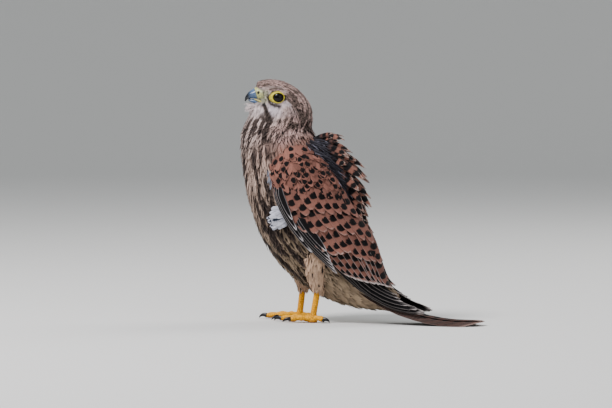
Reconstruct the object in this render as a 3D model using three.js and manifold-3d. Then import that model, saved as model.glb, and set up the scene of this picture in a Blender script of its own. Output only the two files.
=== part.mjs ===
// A common kestrel that stands on a floor with its tail laid along it, at life size.
// Millimetres, +Z up. The bird faces -X and its left side is towards -Y.
import * as THREE from "three";
import { mergeVertices } from "three/addons/utils/BufferGeometryUtils.js";
import Module from "manifold-3d";

const wasm = await Module();
wasm.setup();

// Sizes that several parts share
const GAP = 0.3; // clearance between neighbouring pieces
const VANE_THICKNESS = 0.5;
const UP = new THREE.Vector3(0, 0, 1);
const SIDES = { left: -1, right: 1 };

// The head is turned to the bird's left about an upright line through the neck
const NECK_X = -18;
const HEAD_TURN = THREE.MathUtils.degToRad(20);

// Sections of the body from the end of the tail coverts to the base of the bill. Each runs from
// a ventral to a dorsal point [x, z] in its own upright plane, turned by a share of HEAD_TURN, and
// egg moves its widest place towards the dorsal point.
const BODY = [
  { ventral: [98, 13], dorsal: [104, 27], halfWidth: 8, turn: 0, egg: 0 },
  { ventral: [77, 14], dorsal: [92, 41], halfWidth: 13, turn: 0, egg: 0 },
  { ventral: [55, 17], dorsal: [82, 56], halfWidth: 19, turn: 0, egg: 0 },
  { ventral: [36, 22], dorsal: [74, 72], halfWidth: 25, turn: 0, egg: 0 },
  { ventral: [16, 31], dorsal: [66, 90], halfWidth: 30, turn: 0, egg: 0 },
  { ventral: [-5, 45], dorsal: [58, 109], halfWidth: 34, turn: 0, egg: 0 },
  { ventral: [-25, 64], dorsal: [50, 128], halfWidth: 36.5, turn: 0, egg: 0 },
  { ventral: [-40, 87], dorsal: [41, 147], halfWidth: 37.5, turn: 0, egg: 0 },
  { ventral: [-50, 113], dorsal: [30, 163], halfWidth: 37, turn: 0, egg: 0 },
  { ventral: [-56, 141], dorsal: [20, 176], halfWidth: 35, turn: 0.05, egg: 0 },
  { ventral: [-59, 164], dorsal: [12, 187], halfWidth: 31, turn: 0.25, egg: 0 },
  { ventral: [-60, 181], dorsal: [10, 194], halfWidth: 27, turn: 0.55, egg: 0 },
  { ventral: [-57, 194], dorsal: [11, 202], halfWidth: 23, turn: 0.85, egg: 0.1 },
  { ventral: [-52, 206], dorsal: [10.5, 212], halfWidth: 20, turn: 1, egg: 0.2 },
  { ventral: [-51, 212], dorsal: [5.5, 222], halfWidth: 16.8, turn: 1, egg: 0.32 },
  { ventral: [-49, 215.5], dorsal: [-4, 232], halfWidth: 14.2, turn: 1, egg: 0.42 },
  { ventral: [-47.5, 217.5], dorsal: [-18, 239.5], halfWidth: 11.8, turn: 1, egg: 0.38 },
  { ventral: [-46, 219], dorsal: [-32, 241.5], halfWidth: 8.8, turn: 1, egg: 0.25 },
  { ventral: [-42.5, 221], dorsal: [-42.5, 239.5], halfWidth: 6.8, turn: 1, egg: 0.1 },
  { ventral: [-41, 225], dorsal: [-45, 236], halfWidth: 4.8, turn: 1, egg: 0 },
];
const BODY_SIDES = 24;
const BODY_RINGS_PER_SECTION = 2;
const TAIL_CUT = 1.7; // section where the tail ends and the torso begins
const NECK_CUT = 9.7; // section where the torso ends and the neck begins
const HEAD_CUT = 12.2; // section where the neck ends and the head begins

// Lengthwise lines on the left wing from the shoulder to the wing tip, as [x, depth, z], where
// depth is how far to the side it lies. The right wing is their mirror image, but for being folded
// further forward.
const WING_LEADING = [
  [-22, 30.5, 162], [-15, 36, 138], [-4, 37.5, 113], [14, 35.5, 87],
  [39, 30.5, 63], [68, 24.5, 37.5], [102, 19, 19], [143, 13, 9.5],
];
const WING_MIDDLE = [
  [3, 29.5, 173], [18, 37, 143], [32, 39, 114], [51, 38, 87],
  [69, 33.5, 60.5], [85, 26, 37], [111, 18, 20.5], [146, 12, 11.5],
];
const WING_TRAILING = [
  [16, 13, 172], [40, 15, 140], [59, 14, 109], [78, 11.5, 82],
  [86, 9.5, 56], [95, 8, 34], [118, 8, 21], [147, 8.5, 13],
];
const RIGHT_FORWARD = { most: 9, from: 0.12, full: 0.4, tipFrom: 0.5, tipShare: 0.1 };

// The flesh of the wing stands above those lines by top and reaches below them by bottom, near the
// shoulder. end is the share of the wing's length that it takes, edge its thickness at its ends,
// and the other values are where it thickens and thins, as shares of the wing's length and width.
const ARM = {
  top: 6.5, bottom: 7, end: 0.62, topEdge: 0.4, bottomEdge: 0.6,
  shoulder: [-0.04, 0.1], topThins: [0.12, 0.66], bottomThins: [0.3, 0.62],
  leading: [-0.02, 0.18], topTrailing: [0.9, 1.06], topTrailingShare: 0.3, bottomTrailing: [0.85, 1.02],
  lengthSteps: 10, widths: [0.02, 0.98], widthSteps: 7,
};

// The room for a wing in its neighbours reaches below its thin edges by edge, outwards by headroom
// at the leading and trailing edges, and past its ends by beyond
const WING_ROOM = { edge: 1.7, headroom: [14, 10], widens: 0.55, beyond: [-0.012, 1.02], steps: 9, first: 0.05 };

// Rows of wing feathers, lowest first. root and tip run from the row's leading to its trailing
// feather, each as [share of the wing's length, share of its width]. rise is how far the vanes
// stand above the flesh near the root and at the tip, step lifts each one over the one before it,
// roll lifts its leading edge, and reach lengthens those at the leading edge of the wing.
const WING_ROWS = [
  // primaries
  {
    count: 7, width: 9.5, root: [[0.5, 0.1], [0.5, 0.64]], tip: [[0.965, 0.2], [0.8, 0.88]],
    rise: [0, 0.1], step: 0.38, roll: 0.8, reach: 0.03,
  },
  // secondaries
  {
    count: 6, width: 12, root: [[0.42, 0.24], [0.42, 0.78]], tip: [[0.63, 0.28], [0.7, 0.8]],
    rise: [2.5, 3.6], step: 0.2, roll: 1, reach: 0,
  },
  // tertials
  {
    count: 3, width: 14, root: [[0.38, 0.8], [0.38, 0.92]], tip: [[0.705, 0.76], [0.74, 0.92]],
    rise: [3.4, 4.6], step: 0.5, roll: 0.8, reach: 0,
  },
  // primary coverts
  {
    count: 3, width: 8, root: [[0.26, 0.05], [0.27, 0.13]], tip: [[0.52, 0.09], [0.48, 0.2]],
    rise: [1, 2.6], step: 0, roll: 0.7, reach: 0,
  },
  // greater coverts
  {
    count: 6, width: 15.5, root: [[0.3, 0.18], [0.3, 0.92]], tip: [[0.5, 0.22], [0.55, 0.94]],
    rise: [1.2, 5.4], step: 0.1, roll: 0.75, reach: 0,
  },
  // median coverts
  {
    count: 6, width: 15.5, root: [[0.21, 0.13], [0.21, 0.92]], tip: [[0.38, 0.13], [0.41, 0.93]],
    rise: [1, 3.8], step: 0, roll: 0.7, reach: 0,
  },
  // lesser coverts, the lower row and then the one at the shoulder
  {
    count: 6, width: 15.5, root: [[0.12, 0.11], [0.12, 0.91]], tip: [[0.29, 0.11], [0.29, 0.92]],
    rise: [1, 3.4], step: 0, roll: 0.7, reach: 0,
  },
  {
    count: 5, width: 16, root: [[0.035, 0.15], [0.035, 0.86]], tip: [[0.18, 0.1], [0.18, 0.9]],
    rise: [0.8, 3.2], step: 0, roll: 0.7, reach: 0,
  },
];
const VANE_SUNK = 1.4; // how far the root of a vane lies in the flesh
const VANE_UNEVEN = 0.008; // how unevenly the feathers of a row end, as a share of the wing's length
const REACH_WIDTH = 1.6; // the share of a row that its longest feathers take up, inverted
const VANE_OUTLINE = [
  { at: 0, wide: 0.5 }, { at: 0.3, wide: 1 }, { at: 0.72, wide: 0.94 },
  { at: 0.93, wide: 0.58 }, { at: 1, wide: 0.16 },
];

// The tail leaves the rump at TAIL_SLOPE and bends until its last part lies flat. Its feathers lie
// in levels, the middle pair on top.
const TAIL_ROOT = { x: 50, z: 44.4 };
const TAIL_LENGTH = 152;
const TAIL_FLAT = 22;
const TAIL_SLOPE = THREE.MathUtils.degToRad(41);
const TAIL_PAIRS = 6;
const RECTRIX_OUTLINE = [
  { at: 0, wide: 0.7 }, { at: 0.25, wide: 0.9 }, { at: 0.42, wide: 1 }, { at: 0.58, wide: 1 },
  { at: 0.74, wide: 1 }, { at: 0.88, wide: 0.96 }, { at: 0.965, wide: 0.72 }, { at: 1, wide: 0.3 },
];
const RECTRIX = { width: 13.5, level: 0.82, inner: 1.6, second: 7, spread: 2.4, shorter: 3, gather: 0.72 };

// Ruffled feathers of the mantle, in rows down the back. lift is in degrees off the back. They
// stand on the middle of the back and on its right, turned to face the bird's left.
const MANTLE_ROWS = [
  { section: 9.55, length: 25, lift: 104 }, { section: 9.25, length: 27, lift: 90 },
  { section: 8.85, length: 29, lift: 76 }, { section: 8.4, length: 32, lift: 65 },
  { section: 7.9, length: 33, lift: 54 }, { section: 7.4, length: 32, lift: 44 },
  { section: 6.9, length: 31, lift: 37 }, { section: 6.4, length: 30, lift: 31 },
  { section: 5.8, length: 30, lift: 25 }, { section: 5.2, length: 30, lift: 18 },
];
const MANTLE = {
  width: 13, angles: [0, 0.36], sunk: 3.5, unbend: 0.35, uneven: [0.88, 1.12],
  aside: 1.3, asideBy: 0.4,
};
const SURFACE_STEP = { section: 0.3, angle: 0.1 }; // steps along the body that give its directions

// Parts of the head, as x, y to the side and z from the neck's upright line
const EYE = { x: -4.6, y: 11.3, z: 223.4, radius: 6.3 };
const EYE_AXIS = [-0.22, 0.97, 0.05];
const EYE_SEGMENTS = [12, 7];
const ORBIT = { along: 6.6, across: 5.35, thick: 1.9, rise: 3.5, forward: 1.9, flat: 0.7, segments: [5, 14] };
const UPPER_BILL = [
  { ventral: [-25.4, 222], dorsal: [-29, 232.7], halfWidth: 5.4 },
  { ventral: [-28.5, 222.3], dorsal: [-31.5, 231], halfWidth: 4.7 },
  { ventral: [-32, 222.6], dorsal: [-34.5, 228.8], halfWidth: 3.6 },
  { ventral: [-34, 221.6], dorsal: [-36.6, 226.2], halfWidth: 2.5 },
  { ventral: [-35.6, 221.6], dorsal: [-38, 223.8], halfWidth: 1.5 },
  { ventral: [-37.6, 219.4], dorsal: [-38.5, 219.8], halfWidth: 0.4 },
];
const LOWER_BILL = [
  { ventral: [-23, 216.5], dorsal: [-24, 221.2], halfWidth: 5 },
  { ventral: [-28.5, 217.6], dorsal: [-28.5, 221.7], halfWidth: 3.9 },
  { ventral: [-33, 219], dorsal: [-32.6, 221.9], halfWidth: 2.3 },
  { ventral: [-35, 220.5], dorsal: [-34.6, 221.5], halfWidth: 1 },
];
const CERE = [
  { ventral: [-17, 217.6], dorsal: [-21.8, 234.2], halfWidth: 9.9 },
  { ventral: [-21.4, 219.2], dorsal: [-26, 234], halfWidth: 8.3 },
  { ventral: [-25, 221.2], dorsal: [-28.6, 233.1], halfWidth: 6.4 },
];
const BILL_SIDES = 12;
const CERE_SIDES = 16;
const NOSTRIL = { x: -24.4, y: 7, z: 228.3, radius: 1.3, segments: [8, 6] };

// Legs: the place of each foot on the floor, how it is turned, and where its leg leaves the body
const LEGS = {
  left: { foot: [20, -18], turn: -6, hip: [27, -20, 80], knee: [26, -21, 55], ankle: [26.5, -19, 33] },
  right: { foot: [-7, 18], turn: 3, hip: [4, 20, 80], knee: [-4, 21, 55], ankle: [-3, 18.5, 33] },
};
const THIGH_RADII = [13, 14, 11, 5.6];
const THIGH_RINGS = 8;
const THIGH_SIDES = 14;
const TARSUS = { radius: 2.9, end: 3.3, sunk: 6, foot: 5, slim: [0.2, 0.75], sides: 10 };
const PALM = { radius: 4.8, top: 3.8, height: 7, sides: 12 };
const TOES = [
  { name: "middle", turn: 0, length: 36, radius: 3, claw: 9.5 },
  { name: "inner", turn: 27, length: 23, radius: 2.9, claw: 9.5 },
  { name: "outer", turn: -42, length: 25, radius: 2.7, claw: 8.5 },
  { name: "hind", turn: 176, length: 13, radius: 2.9, claw: 9 },
];
const TOE = { sides: 6, rings: 4, base: 1.05, tip: 0.86, height: 1.15, arch: 1.1, flat: 1.1 };
const CLAW = { root: 1.7, tip: 0.3, clear: 0.45, start: -0.35, end: 1.25, bend: 0.62, rings: 5, sides: 6, flat: 1.15 };

// The bird's own colours, with a roughness each
const COLOURS = {
  streaked: [0xb39a80, 0.9], barred: [0xa8694a, 0.85], horn: [0x6f7f96, 0.35], cere: [0xe0b83c, 0.5],
  leg: [0xe8a522, 0.55], claw: [0x17151a, 0.3], eye: [0x0b0708, 0.05],
};
const materials = Object.fromEntries(
  Object.entries(COLOURS).map(([name, [color, roughness]]) => [
    name,
    new THREE.MeshStandardMaterial({ name, color, roughness, metalness: 0 }),
  ]),
);

const { lerp: mix, smoothstep: ease, degToRad } = THREE.MathUtils;
const evenly = (count, from, to) => Array.from({ length: count }, (_, i) => mix(from, to, i / (count - 1)));
const vector = ([x, y, z]) => new THREE.Vector3(x, y, z);

// The same draws each run
function randomFrom(seed) {
  let state = seed;
  return () => {
    state = (state * 1664525 + 1013904223) % 4294967296;
    return state / 4294967296;
  };
}

// A value along a list of numbers, by a Catmull-Rom curve through them
function between(list, t) {
  const i = THREE.MathUtils.clamp(Math.floor(t), 0, list.length - 2);
  const f = t - i;
  const b = list[i];
  const c = list[i + 1];
  const a = i > 0 ? list[i - 1] : 2 * b - c;
  const d = i + 2 < list.length ? list[i + 2] : 2 * c - b;
  return b + 0.5 * f * (c - a + f * (2 * a - 5 * b + 4 * c - d + f * (3 * (b - c) + d - a)));
}

// A closed solid from a geometry, whatever way round its faces run
function solidFrom(geometry) {
  geometry.deleteAttribute("normal");
  geometry.deleteAttribute("uv");
  const merged = mergeVertices(geometry);
  const triVerts = new Uint32Array(merged.index.array);
  const build = () =>
    new wasm.Manifold(new wasm.Mesh({ numProp: 3, vertProperties: merged.attributes.position.array, triVerts }));
  const made = build();
  if (made.volume() > 0) return made;
  for (let i = 0; i < triVerts.length; i += 3) triVerts.subarray(i, i + 2).reverse();
  return build();
}

function solidOf(points, faces) {
  const geometry = new THREE.BufferGeometry().setFromPoints(points);
  geometry.setIndex(faces.flat());
  return solidFrom(geometry);
}

// A closed body through rings that have equal numbers of points
function loft(rings) {
  const sides = rings[0].length;
  const faces = [];
  for (let i = 0; i < rings.length - 1; i += 1)
    for (let k = 0; k < sides; k += 1) {
      const here = i * sides;
      const next = here + sides;
      const after = (k + 1) % sides;
      faces.push([here + k, here + after, next + after], [here + k, next + after, next + k]);
    }
  const last = (rings.length - 1) * sides;
  for (let k = 1; k < sides - 1; k += 1) faces.push([0, k + 1, k], [last, last + k, last + k + 1]);
  return solidOf(rings.flat(), faces);
}

// A closed plate between two grids of points, both split along the same diagonals
function plate(upper, lower) {
  const rows = upper.length;
  const columns = upper[0].length;
  const low = rows * columns;
  const at = (i, j) => i * columns + j;
  const faces = [];
  for (let i = 0; i < rows - 1; i += 1)
    for (let j = 0; j < columns - 1; j += 1) {
      const [a, b, c, d] = [at(i, j), at(i, j + 1), at(i + 1, j + 1), at(i + 1, j)];
      faces.push([a, b, c], [a, c, d], [low + a, low + c, low + b], [low + a, low + d, low + c]);
    }
  const rim = [];
  for (let j = 0; j < columns - 1; j += 1)
    rim.push([at(0, j + 1), at(0, j)], [at(rows - 1, j), at(rows - 1, j + 1)]);
  for (let i = 0; i < rows - 1; i += 1)
    rim.push([at(i, 0), at(i + 1, 0)], [at(i + 1, columns - 1), at(i, columns - 1)]);
  for (const [a, b] of rim) faces.push([a, b, low + b], [a, low + b, low + a]);
  return solidOf([...upper.flat(), ...lower.flat()], faces);
}

// A tube through centres, each with its radius. flat stretches it upwards.
function tube(centres, radii, { sides = 12, flat = 1 } = {}) {
  const rings = centres.map((centre, i) => {
    const ahead = centres[Math.min(i + 1, centres.length - 1)];
    const behind = centres[Math.max(i - 1, 0)];
    const along = ahead.clone().sub(behind).normalize();
    const across = Math.abs(along.z) > 0.9 ? new THREE.Vector3(0, 1, 0) : UP.clone().cross(along);
    across.addScaledVector(along, -across.dot(along)).normalize();
    const upward = along.clone().cross(across);
    return Array.from({ length: sides }, (_, k) => {
      const angle = (2 * Math.PI * k) / sides;
      return centre
        .clone()
        .addScaledVector(across, radii[i] * Math.cos(angle))
        .addScaledVector(upward, radii[i] * flat * Math.sin(angle));
    });
  });
  return loft(rings);
}

const union = (bodies) => bodies.reduce((whole, body) => whole.add(body));
const without = (body, others) => others.reduce((left, other) => left.subtract(other), body);

// Only the largest of a solid's separate pieces
function largest(body) {
  return body.decompose().reduce((best, piece) => (piece.volume() > best.volume() ? piece : best));
}

// An ellipse between a ventral and a dorsal point, grown by a clearance
function sectionRing({ ventral, dorsal, halfWidth, egg = 0 }, { sides = BODY_SIDES, grow = 0 } = {}) {
  const low = new THREE.Vector3(ventral[0], 0, ventral[1]);
  const high = new THREE.Vector3(dorsal[0], 0, dorsal[1]);
  const centre = low.clone().add(high).multiplyScalar(0.5);
  const depth = high.sub(low).multiplyScalar(0.5);
  depth.setLength(depth.length() + grow);
  return Array.from({ length: sides }, (_, k) => {
    const angle = (2 * Math.PI * k) / sides;
    const point = centre.clone().addScaledVector(depth, -Math.cos(angle));
    point.y += (halfWidth + grow) * Math.sin(angle) * (1 - egg * Math.cos(angle));
    return point;
  });
}

const sectionLoft = (sections, sides, grow = 0) => loft(sections.map((s) => sectionRing(s, { sides, grow })));

function bodySection(t) {
  const at = (pick) => between(BODY.map(pick), t);
  return {
    ventral: [at((s) => s.ventral[0]), at((s) => s.ventral[1])],
    dorsal: [at((s) => s.dorsal[0]), at((s) => s.dorsal[1])],
    halfWidth: at((s) => s.halfWidth),
    turn: at((s) => s.turn) * HEAD_TURN,
    egg: at((s) => s.egg),
  };
}

// Turns a point about the neck's upright line
function turned(point, turn) {
  point.x -= NECK_X;
  point.applyAxisAngle(UP, turn);
  point.x += NECK_X;
  return point;
}

// A point on the body at an angle from the back's middle line, towards +Y
function bodyPoint(t, angle) {
  const { ventral, dorsal, halfWidth, turn, egg } = bodySection(t);
  const share = (1 + Math.cos(angle)) / 2;
  const point = new THREE.Vector3(
    mix(ventral[0], dorsal[0], share),
    halfWidth * Math.sin(angle) * (1 + egg * Math.cos(angle)),
    mix(ventral[1], dorsal[1], share),
  );
  return turned(point, turn);
}

// The whole body from the tail coverts to the bill, in one piece
function wholeBody(grow = 0) {
  const steps = (BODY.length - 1) * BODY_RINGS_PER_SECTION;
  const rings = Array.from({ length: steps + 1 }, (_, i) => {
    const section = bodySection(i / BODY_RINGS_PER_SECTION);
    return sectionRing(section, { grow }).map((p) => turned(p, section.turn));
  });
  return loft(rings);
}

// The plane of a section as a unit normal towards the head and its distance from the origin
function planeAt(t) {
  const low = bodyPoint(t, Math.PI);
  const across = new THREE.Vector3(0, 1, 0).applyAxisAngle(UP, bodySection(t).turn);
  const normal = bodyPoint(t, 0).sub(low).cross(across).normalize();
  return { normal, offset: normal.dot(low) };
}

function above(body, t) {
  const { normal, offset } = planeAt(t);
  return body.trimByPlane(normal.toArray(), offset + GAP / 2);
}

function below(body, t) {
  const { normal, offset } = planeAt(t);
  return body.trimByPlane(normal.clone().negate().toArray(), -offset + GAP / 2);
}

// How much further forward the right wing lies at a share of its length
function rightForward(u) {
  const { most, from, full, tipFrom, tipShare } = RIGHT_FORWARD;
  return most * ease(u, from, full) * mix(1, tipShare, ease(u, tipFrom, 1));
}

// A place on a wing from its share of length and width, with the way outwards and across there
function wingPlace(side, u, v, height = 0) {
  const lines = [WING_LEADING, WING_MIDDLE, WING_TRAILING];
  const point = (a, b) => {
    const weights = [(1 - b) * (1 - 2 * b), 4 * b * (1 - b), b * (2 * b - 1)];
    const forward = side === SIDES.right ? rightForward(a) : 0;
    const [x, y, z] = [0, 1, 2].map((axis) =>
      lines.reduce((sum, line, n) => {
        const values = line.map((p) => p[axis]);
        return sum + weights[n] * between(values, a * (line.length - 1));
      }, 0),
    );
    return new THREE.Vector3(x - forward, side * y, z);
  };
  const step = 0.01;
  const along = point(u + step, v).sub(point(u - step, v));
  const across = point(u, v + step).sub(point(u, v - step));
  const outwards = along.clone().cross(across).multiplyScalar(-side).normalize();
  return { point: point(u, v).addScaledVector(outwards, height), outwards, across };
}

// How far the flesh of the wing stands above its lines
function armTop(u, v) {
  const length = ease(u, ...ARM.shoulder) * (1 - ease(u, ...ARM.topThins));
  const width = ease(v, ...ARM.leading) * mix(1, ARM.topTrailingShare, ease(v, ...ARM.topTrailing));
  return ARM.topEdge + ARM.top * length * width;
}

function armBottom(u, v) {
  const length = 1 - ease(u, ...ARM.bottomThins);
  const width = ease(v, ...ARM.leading) * (1 - ease(v, ...ARM.bottomTrailing));
  return ARM.bottomEdge + ARM.bottom * length * width;
}

function wingGrid(side, us, vs, height) {
  return us.map((u) => vs.map((v) => wingPlace(side, u, v, height(u, v)).point));
}

const armLengths = evenly(ARM.lengthSteps, 0, ARM.end);
const armWidths = evenly(ARM.widthSteps, ...ARM.widths);

function wingArm(side) {
  const lower = wingGrid(side, armLengths, armWidths, (u, v) => -armBottom(u, v));
  return plate(wingGrid(side, armLengths, armWidths, armTop), lower);
}

// All the room that a wing takes, with its clearance, to be cut from its neighbours
function wingRoom(side) {
  const [before, after] = WING_ROOM.beyond;
  const us = [before, ...armLengths, ...evenly(WING_ROOM.steps, ARM.end + WING_ROOM.first, after)];
  const vs = [before, ...armWidths, after];
  const upper = wingGrid(side, us, vs, (u, v) => mix(...WING_ROOM.headroom, ease(v, WING_ROOM.widens, 1)));
  const lower = wingGrid(side, us, vs, (u, v) => -GAP - Math.max(armBottom(u, v), WING_ROOM.edge));
  return plate(upper, lower);
}

// One feather on a wing: a plate that follows the wing from its root to its tip
function wingVane(side, { root, tip, width, rise, roll, level }) {
  const [, bare] = VANE_OUTLINE;
  const place = (s) => {
    const u = mix(root[0], tip[0], s);
    const v = mix(root[1], tip[1], s);
    const out = s < bare.at ? mix(-VANE_SUNK, rise[0], s / bare.at) : mix(...rise, (s - bare.at) / (1 - bare.at));
    return wingPlace(side, u, v, armTop(u, v) + out + Math.min(1, s / bare.at) * level);
  };
  const grid = (extra) =>
    VANE_OUTLINE.map(({ at, wide }) => {
      const { point, outwards, across } = place(at);
      const along = place(at + 0.02).point.sub(place(at - 0.02).point).normalize();
      across.addScaledVector(along, -across.dot(along)).normalize();
      return [-1, 1].map((edge) =>
        point
          .clone()
          .addScaledVector(across, (edge * wide * width) / 2)
          .addScaledVector(outwards, extra - edge * roll * wide),
      );
    });
  return plate(grid(VANE_THICKNESS), grid(0));
}

// A row of feathers from its leading to its trailing one, slightly uneven as real ones are
function wingRow(side, row, draw) {
  return evenly(row.count, 0, 1).map((share, i) => {
    const end = (pair) => [mix(pair[0][0], pair[1][0], share), mix(pair[0][1], pair[1][1], share)];
    const tip = end(row.tip);
    tip[0] += row.reach * Math.sin(Math.PI * Math.min(1, share * REACH_WIDTH)) + VANE_UNEVEN * (draw() - 0.5);
    return wingVane(side, { ...row, root: end(row.root), tip, level: i * row.step });
  });
}

function wing(side) {
  const draw = randomFrom(side + 7);
  return union([wingArm(side), ...WING_ROWS.flatMap((row) => wingRow(side, row, draw))]);
}

// A place on the tail's middle line, with the slope there
function tailPlace(s) {
  const curved = TAIL_LENGTH - TAIL_FLAT;
  const bend = curved / TAIL_SLOPE;
  const slope = TAIL_SLOPE * (1 - Math.min(s, curved) / curved);
  return {
    x: TAIL_ROOT.x + bend * (Math.sin(TAIL_SLOPE) - Math.sin(slope)) + Math.max(0, s - curved),
    z: TAIL_ROOT.z - bend * (Math.cos(slope) - Math.cos(TAIL_SLOPE)),
    slope,
  };
}

// One tail feather of a pair, counted from the middle of the tail outwards
function rectrix(side, pair) {
  const length = TAIL_LENGTH - RECTRIX.shorter * Math.max(0, pair - 1);
  const middlePair = pair === 0;
  const offset = middlePair ? RECTRIX.inner : RECTRIX.second + (pair - 1) * RECTRIX.spread;
  const level = (TAIL_PAIRS - pair + (middlePair && side < 0 ? 0 : -1)) * RECTRIX.level;
  const grid = (extra) =>
    RECTRIX_OUTLINE.map(({ at, wide }) => {
      const { x, z, slope } = tailPlace(at * length);
      const outwards = new THREE.Vector3(Math.sin(slope), 0, Math.cos(slope));
      const y = side * offset * mix(RECTRIX.gather, 1, at);
      return [-1, 1].map((edge) =>
        new THREE.Vector3(x, y + (edge * wide * RECTRIX.width) / 2, z).addScaledVector(outwards, level + extra),
      );
    });
  return plate(grid(VANE_THICKNESS), grid(0));
}

function tail(body) {
  const feathers = evenly(TAIL_PAIRS, 0, TAIL_PAIRS - 1).flatMap((pair) => [rectrix(-1, pair), rectrix(1, pair)]);
  return below(union([below(body, TAIL_CUT), ...feathers]), TAIL_CUT);
}

// One ruffled feather that stands off the back at an angle from its middle line
function mantleVane({ section, length, lift }, angle) {
  const root = bodyPoint(section, angle);
  const along = bodyPoint(section - SURFACE_STEP.section, angle).sub(root).normalize();
  const sideways = bodyPoint(section, angle + SURFACE_STEP.angle).sub(root).normalize();
  const outwards = along.clone().cross(sideways).normalize();
  const grid = (extra) =>
    VANE_OUTLINE.map(({ at, wide }) => {
      const bent = degToRad(lift) * (1 - MANTLE.unbend * at);
      const [back, out] = [Math.cos(bent), Math.sin(bent)];
      const shaft = along.clone().multiplyScalar(back).addScaledVector(outwards, out);
      const face = outwards.clone().multiplyScalar(back).addScaledVector(along, -out);
      face.y -= MANTLE.aside * ease(at, 0, MANTLE.asideBy);
      const across = shaft.cross(face).normalize();
      return [-1, 1].map((edge) =>
        root
          .clone()
          .addScaledVector(along, length * at * back)
          .addScaledVector(outwards, length * at * out - MANTLE.sunk * (1 - at))
          .addScaledVector(face.normalize(), extra)
          .addScaledVector(across, (edge * wide * MANTLE.width) / 2),
      );
    });
  return plate(grid(VANE_THICKNESS), grid(0));
}

function mantle() {
  const draw = randomFrom(31);
  const uneven = () => mix(...MANTLE.uneven, draw());
  return MANTLE_ROWS.flatMap((row) =>
    MANTLE.angles.map((angle) =>
      mantleVane({ ...row, lift: row.lift * uneven(), length: row.length * uneven() }, angle),
    ),
  );
}

function thigh({ hip, knee, ankle }) {
  const curve = new THREE.CatmullRomCurve3([hip, knee, ankle].map(vector));
  const radii = evenly(THIGH_RINGS, 0, THIGH_RADII.length - 1).map((t) => between(THIGH_RADII, t));
  return tube(curve.getPoints(THIGH_RINGS - 1), radii, { sides: THIGH_SIDES });
}

// The bare shank as a turned bar that stands on its lower end
function tarsusBar(length, grow = 0) {
  const [end, middle] = [TARSUS.end + grow, TARSUS.radius + grow];
  const profile = [
    [0, -grow], [end, -grow], ...TARSUS.slim.map((share) => [middle, length * share]),
    [end, length + grow], [0, length + grow],
  ];
  return solidFrom(new THREE.LatheGeometry(profile.map(([r, z]) => new THREE.Vector2(r, z)), TARSUS.sides));
}

// A toe on a low arch from the palm to the root of its claw
function toe(turn, { length, radius }) {
  const heading = new THREE.Vector3(-1, 0, 0).applyAxisAngle(UP, turn);
  const shares = evenly(TOE.rings, 0, 1);
  const centres = shares.map((s) => {
    const height = radius * mix(TOE.height, TOE.tip, s) + TOE.arch * Math.sin(Math.PI * s);
    return heading.clone().multiplyScalar(s * length).setZ(height);
  });
  return tube(centres, shares.map((s) => radius * mix(TOE.base, TOE.tip, s)), TOE);
}

// A claw curves from inside the toe's end down to just above the floor
function claw(turn, { length, radius, claw: size }, grow = 0) {
  const heading = new THREE.Vector3(-1, 0, 0).applyAxisAngle(UP, turn);
  const bend = size * CLAW.bend;
  const centres = evenly(CLAW.rings, CLAW.start, CLAW.end).map((angle) =>
    heading
      .clone()
      .multiplyScalar(length - CLAW.root + bend * (Math.sin(angle) - Math.sin(CLAW.start)))
      .setZ(radius + bend * (Math.cos(angle) - Math.cos(CLAW.start))),
  );
  const lowest = centres.at(-1).z;
  centres.forEach((p, i) => {
    p.z += (Math.max(0, CLAW.clear - lowest) * i) / (CLAW.rings - 1);
  });
  const radii = evenly(CLAW.rings, CLAW.root, CLAW.tip).map((r) => r + grow);
  return tube(centres, radii, CLAW);
}

// A foot with flat soles, for toes at the given turns
function foot(toes) {
  const palm = new THREE.CylinderGeometry(PALM.top, PALM.radius, PALM.height, PALM.sides);
  palm.rotateX(Math.PI / 2).translate(0, 0, PALM.height / 2);
  return union([solidFrom(palm), ...toes.map(({ angle, toe: size }) => toe(angle, size))]).trimByPlane([0, 0, 1], 0);
}

const kestrel = new THREE.Group();
kestrel.name = "common kestrel";

// Hangs a solid, given in its parent's own axes, as a named mesh
function hang(name, body, material, parent = kestrel) {
  const { vertProperties, triVerts } = largest(body).getMesh();
  const geometry = new THREE.BufferGeometry();
  geometry.setAttribute("position", new THREE.BufferAttribute(vertProperties, 3));
  geometry.setIndex(new THREE.BufferAttribute(triVerts, 1));
  const mesh = new THREE.Mesh(geometry, materials[material]);
  mesh.name = name;
  parent.add(mesh);
  return mesh;
}

function hangGroup(x, y, turn) {
  const group = new THREE.Group();
  group.position.set(x, y, 0);
  group.rotation.z = turn;
  group.updateMatrix();
  kestrel.add(group);
  return group;
}

const intoGroup = (body, group) => body.transform(group.matrix.clone().invert().elements);

// The bare ring round an eye lies in a plane square to the eye's axis
function eyeRing(centre, axis, grow = 0) {
  const ring = new THREE.TorusGeometry(1, (ORBIT.thick + grow) / ORBIT.across, ...ORBIT.segments);
  ring.scale(ORBIT.along, ORBIT.across, ORBIT.across * ORBIT.flat);
  const facing = new THREE.Matrix4().lookAt(axis, new THREE.Vector3(), UP);
  ring.applyMatrix4(facing);
  const place = centre.clone().addScaledVector(axis, ORBIT.rise);
  return solidFrom(ring.translate(place.x - ORBIT.forward, place.y, place.z));
}

function eyeball(centre, grow = 0) {
  const { x, y, z } = centre;
  return solidFrom(new THREE.SphereGeometry(EYE.radius + grow, ...EYE_SEGMENTS).translate(x, y, z));
}

function nostril(side) {
  const hole = new THREE.SphereGeometry(NOSTRIL.radius, ...NOSTRIL.segments);
  return solidFrom(hole.translate(NOSTRIL.x, side * NOSTRIL.y, NOSTRIL.z));
}

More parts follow.
